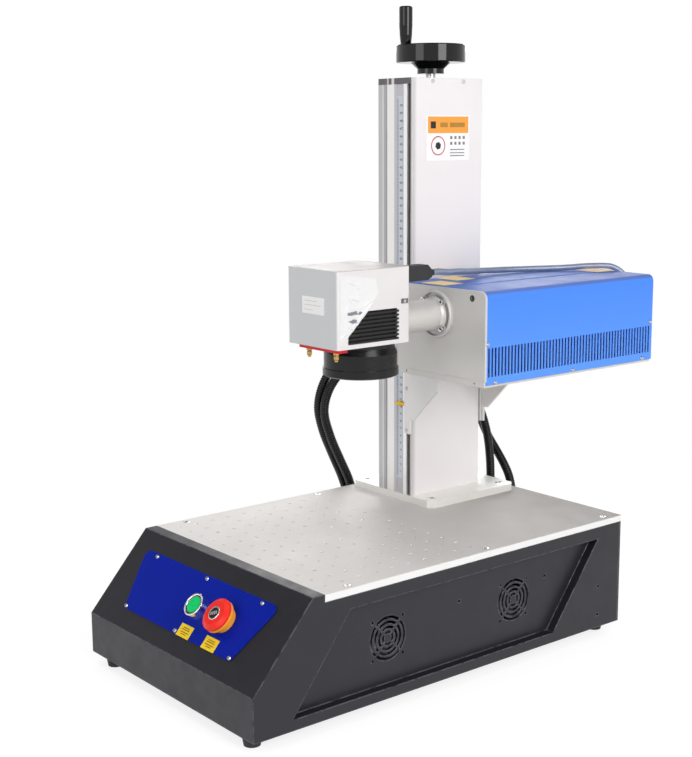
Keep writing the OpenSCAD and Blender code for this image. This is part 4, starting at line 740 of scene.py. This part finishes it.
def wound(i, a):
    """A strip wound round the conduit: a rounded rise and a narrow groove, once round for each turn."""
    share = (i / TURN_RINGS + a / math.tau) % 1.0
    return CONDUIT_ROOT + (CONDUIT_R - CONDUIT_ROOT) * math.sin(math.pi * share) ** RISE_POWER


path, length = evenly(curve_points(CONDUIT_ROUTE), TURN_PITCH / TURN_RINGS)
conduit = made("conduit_wound", *tube(path, wound, CONDUIT_SIDES), "conduit_grey", "carriage", smooth=True)
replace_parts(conduit, "conduit")

# Socket screws: a bright chamfered ring on each head, with a dark hexagon in it as painted shade for the
# socket's hollow
SOCKET_SHARE = 0.52
HEAD_EDGE_SHARE = 0.97
HEAD_CHAMFER_SHARE = 0.86
HEAD_LIFT = 0.02
HEAD_CHAMFER_H = 0.25
HEAD_TOP_H = 0.45
SOCKET_FLOOR_H = 0.12
HEAD_SIDES = 24
HEAD_ANGLE = 30
HEX_SIDES = 6


def sockets(name, spots, axis, body):
    """Rings, and hexagons of painted shade, on screw heads, from the middle of each head's face and its
    radius.
    """
    rings = []
    socket_shades = []
    for point, r in spots:
        outline = [(r * SOCKET_SHARE, HEAD_LIFT), (r * HEAD_EDGE_SHARE, HEAD_LIFT),
                   (r * HEAD_EDGE_SHARE, HEAD_CHAMFER_H), (r * HEAD_CHAMFER_SHARE, HEAD_TOP_H),
                   (r * SOCKET_SHARE, HEAD_TOP_H)]
        rings.append(turned(point, axis, outline, HEAD_SIDES, True))
        floor_outline = [(r * SOCKET_SHARE, HEAD_LIFT), (r * SOCKET_SHARE, SOCKET_FLOOR_H)]
        socket_shades.append(turned(point, axis, floor_outline, HEX_SIDES))
    smooth_by_angle(made(name + "_rings", *joined(rings), "chrome", body), HEAD_ANGLE)
    made(name + "_sockets", *joined(socket_shades), "module_black", body)


def head_tops(boxes):
    """The middle of each box's top, and half its width in millimetres."""
    return [(Vector(((low.x + high.x) / 2, (low.y + high.y) / 2, high.z)), (high.x - low.x) / 2 / MM)
            for low, high in boxes]


# Foot screws and table screws, told from the other screws of their nodes by height and shape
FOOT_SCREWS_BELOW = at(0, 0, 200).z
CASE_HEADS_ABOVE = at(0, 0, 139).z
CASE_HEAD_WIDTH = 7 * MM
ROUND_WITHIN = 0.2 * MM
foot_boxes = [box for box in islands("mast_screws") if box[1].z <= FOOT_SCREWS_BELOW]
table_boxes = []
for low, high in islands("case_screws"):
    size = high - low
    upright = abs(size.x - size.y) < ROUND_WITHIN
    if upright and high.z > CASE_HEADS_ABOVE and size.x > CASE_HEAD_WIDTH:
        table_boxes.append((low, high))

# The beam tube and its flange, with a sunk face and raised screw seats, and a darker ring on the sunk face
# as painted shade in the recess
BEAM_X = 33.5
BEAM_Z = 414.3
TOWARDS = -ALONG_Y
BEAM_SIDES = 72
BEAM_OUTLINE = [
    (30.8, 0.0), (30.8, 3.9), (29.9, 5.4), (27.9, 5.4), (27.2, 4.8), (27.2, 2.0), (23.4, 2.0), (22.8, 5.2),
    (21.4, 6.4), (20.6, 9.0), (20.0, 10.0), (20.0, 76.2)]
BEAM_ANGLE = 28
RECESS_SHADE_OUTLINE = [(23.3, 2.05), (27.1, 2.05), (27.1, 2.3), (23.3, 2.3)]
SEAT_OUTLINE = [(3.9, 1.9), (3.9, 5.0), (3.6, 5.6)]
SEAT_SIDES = 24
FLANGE_SCREW = 17.0
FLANGE_HEAD_Y = 382.5
FLANGE_HEAD_R = 3.5
flange_back = at(BEAM_X, LASER_FRONT, BEAM_Z)
flange = made("flanged_tube", *turned(flange_back, TOWARDS, BEAM_OUTLINE, BEAM_SIDES), "laser_silver",
              "carriage")
smooth_by_angle(flange, BEAM_ANGLE)
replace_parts(flange, "beam_tube")
made("flange_recess_shade", *turned(flange_back, TOWARDS, RECESS_SHADE_OUTLINE, BEAM_SIDES, True), "supply_metal",
     "carriage")
seats = []
heads = []
for i in (-1, 1):
    for j in (-1, 1):
        x = BEAM_X + i * FLANGE_SCREW
        z = BEAM_Z + j * FLANGE_SCREW
        seats.append(turned(at(x, LASER_FRONT, z), TOWARDS, SEAT_OUTLINE, SEAT_SIDES))
        heads.append((at(x, FLANGE_HEAD_Y, z), FLANGE_HEAD_R))
made("flange_seats", *joined(seats), "laser_silver", "carriage")
sockets("flange_screw", heads, TOWARDS, "carriage")
sockets("foot_screw", head_tops(foot_boxes), ALONG_Z, "base")
sockets("table_screw", head_tops(table_boxes), ALONG_Z, "base")

# Threads in the table's holes: a light chamfer ring at each hole's mouth and a grey plug below
HOLE_PITCH = 25.0
HOLE_COLS = 13
HOLE_ROWS = 10
FIRST_HOLE = (-150.0, 117.0)
MOUTH_OUTLINE = [(2.5, -1.4), (1.9, -0.9), (2.45, -0.35), (2.5, -0.3)]
MOUTH_SIDES = 16
PLUG_OUTLINE = [(2.1, -2.2), (2.1, -1.3)]
PLUG_SIDES = 12
mouths = []
plugs = []
for i in range(HOLE_COLS):
    for j in range(HOLE_ROWS):
        spot = at(FIRST_HOLE[0] + i * HOLE_PITCH, FIRST_HOLE[1] + j * HOLE_PITCH, TABLE_TOP)
        mouths.append(turned(spot, ALONG_Z, MOUTH_OUTLINE, MOUTH_SIDES, True))
        plugs.append(turned(spot, ALONG_Z, PLUG_OUTLINE, PLUG_SIDES))
made("hole_threads", *joined(mouths), "chrome", "base", smooth=True)
made("hole_plugs", *joined(plugs), "table_aluminium", "base")

# A green window behind the small hole in the laser's front, with a dark rim
WINDOW = at(97.4, LASER_FRONT, 439.2)
PANE_OUTLINE = [(2.3, -0.9), (2.3, -0.6), (0.6, -0.3)]
PANE_SIDES = 20
PANE_RIM_OUTLINE = [(2.42, 0.02), (4.1, 0.02), (3.9, 0.3), (2.42, 0.3)]
PANE_RIM_SIDES = 28
made("front_window", *turned(WINDOW, TOWARDS, PANE_OUTLINE, PANE_SIDES), "card_green", "carriage")
made("front_window_rim", *turned(WINDOW, TOWARDS, PANE_RIM_OUTLINE, PANE_RIM_SIDES, True), "grille_black",
     "carriage")

# Start button's polished lip, with a dark ring inside it as painted shade in the gap
START_AT = (13.3, 61.9)
PANEL_T = 1.5
START_SIDES = 56
LIP_OUTLINE = [(14.1, 9.8), (14.35, 10.1), (14.2, 10.7), (13.6, 11.2), (12.8, 11.2), (12.1, 10.8),
               (11.7, 10.2), (11.7, 9.8)]
GAP_SHADE_OUTLINE = [(10.6, 9.9), (11.8, 9.9), (11.8, 10.1), (10.6, 10.1)]
start_base = on_slope(*START_AT, PANEL_T)
made("start_lip", *turned(start_base, OUT, LIP_OUTLINE, START_SIDES, True), "chrome", "base", smooth=True)
made("start_gap_shade", *turned(start_base, OUT, GAP_SHADE_OUTLINE, START_SIDES, True), "module_black", "base")

# Emergency stop's insert: a ring, a dark face and four plain slanted bars
INSERT_H = 20.6
INSERT_R = 6.8
INSERT_SIDES = 40
INSERT_TURN = math.radians(28)
INSERT_RING = [(INSERT_R, INSERT_H - 0.2), (8.3, INSERT_H - 0.5), (8.3, INSERT_H + 0.1),
               (7.9, INSERT_H + 0.35), (INSERT_R, INSERT_H + 0.35)]
INSERT_FACE = [(INSERT_R, INSERT_H - 0.1), (INSERT_R, INSERT_H + 0.15)]
INSERT_BARS = [(-5.2, -1.9, -3.4, 1.9), (-2.4, -2.2, -0.8, 2.2), (0.2, -2.2, 1.8, 2.2),
               (2.8, -2.0, 4.4, 2.0)]
INSERT_LIFT = 0.2
stop_base = on_slope(*STOP_AT, 0)
made("stop_insert_ring", *turned(stop_base, OUT, INSERT_RING, INSERT_SIDES, True), "chrome", "stop_head")
made("stop_insert_face", *turned(stop_base, OUT, INSERT_FACE, INSERT_SIDES), "grille_black", "stop_head")
mark_right = ALONG_X * math.cos(INSERT_TURN) + SLOPE_UP * math.sin(INSERT_TURN)
mark_up = SLOPE_UP * math.cos(INSERT_TURN) - ALONG_X * math.sin(INSERT_TURN)
insert_top = stop_base + OUT * (INSERT_H * MM)
insert_marks = bars(insert_top, mark_right, mark_up, INSERT_BARS, INSERT_LIFT)
made("stop_insert_marks", *insert_marks, "cover_aluminium", "stop_head")

# Brass nuts under the scan head
NUT_X = (3.0, 55.0)
NUT_Y = 212
NUT_TOP = 386.2
NUT_OUTLINE = [(3.9, 0.0), (3.9, 3.2), (3.2, 3.7), (2.7, 4.1), (2.7, 4.6), (3.5, 5.2), (3.4, 8.4),
               (2.9, 9.2), (2.2, 9.8), (2.2, 11.6)]
nuts = joined([turned(at(x, NUT_Y, NUT_TOP), -ALONG_Z, NUT_OUTLINE, HEX_SIDES) for x in NUT_X])
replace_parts(made("brass_nuts", *nuts, "brass", "carriage"), "brass_pointers")

# Protective film on the scan head's side, crinkled where it has lifted
FILM = [(207.3, 397.1), (219.7, 404.5), (251.7, 434.2), (266.3, 452.8), (261.8, 470.4), (207.3, 477.9)]
FILM_X = 68.12
FILM_STEP = 0.6
film_y0 = min(y for y, z in FILM)
film_y1 = max(y for y, z in FILM)
film_z0 = min(z for y, z in FILM)
film_z1 = max(z for y, z in FILM)
# creases, each from one (y, z) to another with its height
CREASES = [
    (218.8, 469.6, 230.7, 464.0, 1.0), (230.7, 462.5, 238.3, 458.9, 0.7), (221.4, 451.5, 225.2, 444.3, 1.1),
    (223.9, 450.4, 236.6, 445.6, 1.0), (261.9, 447.8, 242.9, 438.7, 1.1), (258.1, 443.2, 227.7, 416.3, 1.3),
    (217.6, 417.2, 227.7, 411.4, 1.0), (207.4, 403.3, 217.6, 409.3, 0.8), (218.8, 440.8, 217.0, 433.2, 1.0),
    (222.0, 436.6, 242.0, 437.6, 0.9), (219.0, 427.0, 236.0, 427.4, 1.0), (220.0, 418.2, 231.0, 422.0, 0.8)]
CREASE_HALF = 1.5
CREASE_END_SHARE = 0.35
# shallow waves, each with its height and its turn along y and z
WAVES = ((0.05, 0.11, 0.19), (0.04, -0.07, 0.13))
RISE_SHARE = 1.25


def in_film(y, z):
    inside = False
    for (y0, z0), (y1, z1) in zip(FILM, FILM[1:] + FILM[:1]):
        if (z0 > z) != (z1 > z) and y < (y1 - y0) * (z - z0) / (z1 - z0) + y0:
            inside = not inside
    return inside


def film_rise(y, z):
    """Lift of the film off the face: the waves, and tent-shaped creases that die out at their ends."""
    lift = sum(high * abs(math.sin(y * turn_y + z * turn_z)) for high, turn_y, turn_z in WAVES)
    for y0, z0, y1, z1, high in CREASES:
        long = math.hypot(y1 - y0, z1 - z0)
        along = ((y - y0) * (y1 - y0) + (z - z0) * (z1 - z0)) / long
        share = min(max(along / long, 0.0), 1.0)
        off = math.hypot(y - y0 - (y1 - y0) * share, z - z0 - (z1 - z0) * share)
        fade = CREASE_END_SHARE + (1 - CREASE_END_SHARE) * math.sin(math.pi * share)
        lift = max(lift, high * (1 - off / CREASE_HALF) * fade)
    return lift * RISE_SHARE


film_verts = []
film_faces = []
film_index = {}
for i in range(int((film_y1 - film_y0) / FILM_STEP) + 1):
    for j in range(int((film_z1 - film_z0) / FILM_STEP) + 1):
        if not in_film(film_y0 + i * FILM_STEP + FILM_STEP / 2, film_z0 + j * FILM_STEP + FILM_STEP / 2):
            continue
        corners = []
        for a, b in ((i, j), (i + 1, j), (i + 1, j + 1), (i, j + 1)):
            if (a, b) not in film_index:
                film_index[(a, b)] = len(film_verts)
                y = film_y0 + a * FILM_STEP
                z = film_z0 + b * FILM_STEP
                film_verts.append(at(FILM_X + film_rise(y, z), y, z))
            corners.append(film_index[(a, b)])
        film_faces.append(tuple(corners))
film = made("film_sheet", film_verts, film_faces, "clear_film", "carriage", smooth=True)
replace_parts(film, "side_film")

# Infill strip in the column's front slot, a shallow curved moulding
STRIP_X = (-97.1, -90.3)
STRIP_Z = (154.6, 703.0)
STRIP_FACE = 421.2
STRIP_CROWN = 0.6
STRIP_BACK = 422.6
CROWN_STEPS = 8
strip = []
for z in STRIP_Z:
    for k in range(CROWN_STEPS + 1):
        x = STRIP_X[0] + (STRIP_X[1] - STRIP_X[0]) * k / CROWN_STEPS
        strip.append(at(x, STRIP_FACE - STRIP_CROWN * math.sin(math.pi * k / CROWN_STEPS), z))
    strip += [at(STRIP_X[1], STRIP_BACK, z), at(STRIP_X[0], STRIP_BACK, z)]
ring = len(strip) // 2
strip_faces = [(k, (k + 1) % ring, ring + (k + 1) % ring, ring + k) for k in range(ring)]
strip_faces += [tuple(range(ring))[::-1], tuple(range(ring, ring * 2))]
made("slot_strip", strip, strip_faces, "mast_aluminium", "base")

# Scale marks on the column, one a millimetre, longer at every fifth and tenth
RULE_LIFT = 0.06
TICK_LEFT = 0.4
TICK_HALF = 0.2
TICK_LONG = 4.6
TICK_MIDDLE = 3.4
TICK_SHORT = 2.4
TICKS_FROM = 4
TICKS_SPARE = 3
rule_low, rule_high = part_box("ruler")
rule_mm = round((rule_high[Z] - rule_low[Z]) / MM)
ticks = []
for k in range(TICKS_FROM, rule_mm - TICKS_SPARE):
    reach = TICK_LONG if k % 10 == 0 else TICK_MIDDLE if k % 5 == 0 else TICK_SHORT
    ticks.append((TICK_LEFT, k - TICK_HALF, TICK_LEFT + reach, k + TICK_HALF))
made("ruler_ticks", *bars(rule_low, ALONG_X, ALONG_Z, ticks, RULE_LIFT), "stop_grey", "base")

# Centimetre numbers beside the marks
NUMERAL_BOLD = 0.03
NUMERAL_STEPS = 2
NUMERAL_H = 4.4
NUMERAL_W = 0.62 * NUMERAL_H
NUMERAL_DROP = 1.6
NUMBERS_MID = 8.6
NUMBERS_SPARE = 5


def glyph(text):
    """The outline of one numeral as points and faces, one unit high."""
    curve = bpy.data.curves.new("numeral", "FONT")
    curve.body = text
    curve.size = 1.0
    curve.offset = NUMERAL_BOLD
    curve.resolution_u = NUMERAL_STEPS
    holder = bpy.data.objects.new("numeral", curve)
    scene.collection.objects.link(holder)
    shape = holder.evaluated_get(bpy.context.evaluated_depsgraph_get()).to_mesh()
    verts = [v.co.copy() for v in shape.vertices]
    faces = [tuple(p.vertices) for p in shape.polygons]
    bpy.data.objects.remove(holder)
    bpy.data.curves.remove(curve)
    return verts, faces


numerals = [glyph(str(k)) for k in range(10)]
numbers = []
for k in range(10, rule_mm - NUMBERS_SPARE, 10):
    digits = [int(c) for c in str(k // 10)]
    for place, digit in enumerate(digits):
        shape_verts, shape_faces = numerals[digit]
        left = NUMBERS_MID - NUMERAL_W * len(digits) / 2 + place * NUMERAL_W
        moved = []
        for v in shape_verts:
            x = left + v.x * NUMERAL_H
            z = k - NUMERAL_DROP + v.y * NUMERAL_H
            moved.append(rule_low + Vector((x * MM, -RULE_LIFT * MM, z * MM)))
        numbers.append((moved, shape_faces))
made("ruler_numbers", *joined(numbers), "hood_black", "base")

# Plain lines on the panel's two labels: each row's place and length as shares of the label's halves
PANEL_ROW_SHARES = ((0.5, 0.5), (0.2, 0.62), (-0.2, 0.66), (-0.5, 0.4))
PANEL_LINE_HALF = 0.5
PANEL_LINE_LIFT = 0.3
PANEL_BEFORE = at(0, 200, 0).y
lots = []
for low, high in islands("labels"):
    if high.y > PANEL_BEFORE:
        continue
    half_w = (high.x - low.x) / 2 / MM
    half_l = math.hypot(high.y - low.y, high.z - low.z) / 2 / MM
    spans = [(-half_w * far, half_l * row - PANEL_LINE_HALF, half_w * far, half_l * row + PANEL_LINE_HALF)
             for row, far in PANEL_ROW_SHARES]
    lots.append(bars((low + high) / 2, ALONG_X, SLOPE_UP, spans, PANEL_LINE_LIFT))
made("panel_label_lines", *joined(lots), "bronze", "base")

# Plain lines on the scan head's front sticker: each row's place and end as shares of the sticker
FRONT_ROW_SHARES = ((0.74, 0.7), (0.5, 0.86), (0.22, 0.5))
FRONT_LEFT_SHARE = 0.1
FRONT_LINE_H = 0.7
FRONT_LINE_LIFT = 0.08
papers = [part["node"] for part in frame["record"]["subparts"] if part["material_slot"] == "paper"]
low, high = min((box for paper in papers for box in islands(paper)), key=lambda box: box[0].y)
width = (high.x - low.x) / MM
height = (high.z - low.z) / MM
rows = [(width * FRONT_LEFT_SHARE, height * row, width * far, height * row + FRONT_LINE_H)
        for row, far in FRONT_ROW_SHARES]
made("front_label_lines", *bars(low, ALONG_X, ALONG_Z, rows, FRONT_LINE_LIFT), "laser_silver", "carriage")

# Plain marks on the column's label, from its lower left corner
LABEL_CORNER = at(-45.8, 445.4, 603.5)
LABEL_LIFT = 0.45
HEADING = [(24.0, 43.5, 37.5, 49.5), (41.5, 43.5, 68.5, 49.5)]
BLOCK = [(7.2, 42.0, 16.2, 51.0)]
TEXT_LEFT = 42.0
TEXT_RIGHT = 68.0
DASH_ROWS = ((28.0, 32.0), (20.6, 24.4))
DASHES = 4
DASH_PITCH = 7.6
DASH_W = 4.0
LINE_ROWS = (13.6, 9.4, 5.6)
LINE_H = 1.3
RING_AT = (20.5, 19.5)
RING_R = (11.2, 12.6)
RING_T = 0.1
RING_SIDES = 40
DOT_R = 5.2
marks = [(TEXT_LEFT + k * DASH_PITCH, low, TEXT_LEFT + DASH_W + k * DASH_PITCH, high)
         for low, high in DASH_ROWS for k in range(DASHES)]
marks += [(TEXT_LEFT, low, TEXT_RIGHT, low + LINE_H) for low in LINE_ROWS]
for name, spans, slot in (("label_heading", HEADING, "bronze"), ("label_lines", marks, "motor_grey")):
    made(name, *bars(LABEL_CORNER, ALONG_Y, ALONG_Z, spans, LABEL_LIFT), slot, "base")
ring_middle = LABEL_CORNER + ALONG_Y * (RING_AT[0] * MM) + ALONG_Z * (RING_AT[1] * MM)
ring_outline = [(RING_R[0], LABEL_LIFT - RING_T), (RING_R[1], LABEL_LIFT - RING_T), (RING_R[1], LABEL_LIFT),
                (RING_R[0], LABEL_LIFT)]
dot_outline = [(DOT_R, LABEL_LIFT - RING_T), (DOT_R, LABEL_LIFT)]
made("label_ring", *turned(ring_middle, ALONG_X, ring_outline, RING_SIDES, True), "red_anodised", "base")
made("label_dot", *turned(ring_middle, ALONG_X, dot_outline, HEX_SIDES), "module_black", "base")
made("label_block", *bars(LABEL_CORNER, ALONG_Y, ALONG_Z, BLOCK, LABEL_LIFT), "module_black", "base")


# World: reflections meet a white surround and a dim ceiling; the camera meets white alone
def seen(n, rays):
    """1 for a ray from the camera, a reflection or through glass."""
    plain = n.math("ADD", rays["Is Camera Ray"], rays["Is Glossy Ray"], True)
    return n.math("ADD", plain, rays["Is Transmission Ray"], True)


WORLD_LIGHT = 0.4
WORLD_COLOUR = (1.0, 0.995, 0.985, 1.0)
WHITE = (1.0, 1.0, 1.0, 1.0)
CEILING_COLOUR = (0.16, 0.16, 0.17, 1.0)
CEILING_FROM = 0.14
CEILING_FULL = 0.5
scene.world = bpy.data.worlds.new("studio")
n = Nodes(scene.world)
rays = n.add("ShaderNodeLightPath").outputs
soft = n.add("ShaderNodeBackground", {"Color": WORLD_COLOUR, "Strength": WORLD_LIGHT})
white = n.add("ShaderNodeBackground", {"Color": WHITE})
ceiling = n.add("ShaderNodeBackground", {"Color": CEILING_COLOUR})
direction = n.add("ShaderNodeSeparateXYZ", {0: n.add("ShaderNodeTexCoord").outputs["Generated"]})
overhead = n.spread(direction.outputs[Z], CEILING_FROM, CEILING_FULL, smooth=True)
reflected = n.math("SUBTRACT", overhead, rays["Is Camera Ray"], True)
around = n.add("ShaderNodeMixShader", {0: reflected, 1: white.outputs[0], 2: ceiling.outputs[0]})
pick = n.add("ShaderNodeMixShader", {0: seen(n, rays), 1: soft.outputs[0], 2: around.outputs[0]})
n.add("ShaderNodeOutputWorld", {"Surface": pick.outputs[0]})

# Floor: the shadow under the machine fades out into plain white
FLOOR_HALF = 14.0
FLOOR_DROP = 0.0005
FLOOR_TONE = (0.72, 0.72, 0.72, 1.0)
SHADOW_TONE = (0.3, 0.3, 0.3, 1.0)
SHADOW_GLOW = 0.8
FADE_FROM = 0.5
FADE_TO = 0.95
corners = [(FLOOR_HALF * i, FLOOR_HALF * j, 0) for i, j in ((-1, -1), (1, -1), (1, 1), (-1, 1))]
floor_mesh = bpy.data.meshes.new("floor")
floor_mesh.from_pydata(corners, [], [(0, 1, 2, 3)])
floor = bpy.data.objects.new("floor", floor_mesh)
scene.collection.objects.link(floor)
floor.location.z = -FLOOR_DROP
n = Nodes(bpy.data.materials.new("floor"))
rays = n.add("ShaderNodeLightPath").outputs
lit = n.add("ShaderNodeBsdfDiffuse", {"Color": FLOOR_TONE})
shadowed = n.add("ShaderNodeBsdfDiffuse", {"Color": SHADOW_TONE})
glow = n.add("ShaderNodeEmission", {"Color": WHITE, "Strength": SHADOW_GLOW})
near = n.add("ShaderNodeAddShader", {0: shadowed.outputs[0], 1: glow.outputs[0]})
plain = n.add("ShaderNodeEmission", {"Color": WHITE, "Strength": 1.0})
coords = n.add("ShaderNodeTexCoord").outputs["Object"]
reach = n.add("ShaderNodeVectorMath", {0: coords}, operation="LENGTH").outputs["Value"]
fade = n.spread(reach, FADE_FROM, FADE_TO, smooth=True)
faded = n.add("ShaderNodeMixShader", {0: fade, 1: near.outputs[0], 2: plain.outputs[0]})
mixed = n.add("ShaderNodeMixShader", {0: seen(n, rays), 1: lit.outputs[0], 2: faded.outputs[0]})
n.add("ShaderNodeOutputMaterial", {"Surface": mixed.outputs[0]})
floor_mesh.materials.append(n.owner)


# Lamps: soft rectangles that face the machine, in metres and watts
def lamp(name, place, aim_z, size, power, colour=(1, 1, 1)):
    data = bpy.data.lights.new(name, "AREA")
    data.shape = "RECTANGLE"
    data.size, data.size_y = size
    data.energy = power
    data.color = colour
    obj = bpy.data.objects.new(name, data)
    scene.collection.objects.link(obj)
    obj.location = place
    obj.rotation_mode = "QUATERNION"
    obj.rotation_quaternion = (Vector((0, 0, aim_z)) - Vector(place)).to_track_quat("-Z", "Y")


lamp("key", place=(2.97, -0.10, 1.6), aim_z=0.4, size=(1.6, 2.2), power=70, colour=(1.0, 0.99, 0.98))
lamp("fill", place=(0.50, -2.86, 1.65), aim_z=0.3, size=(1.6, 2.0), power=24, colour=(0.98, 0.99, 1.0))
lamp("top", place=(-0.8, -0.9, 2.9), aim_z=0.3, size=(2.0, 2.0), power=11)
lamp("rear", place=(-2.4, 2.4, 1.8), aim_z=0.4, size=(1.8, 1.8), power=30)
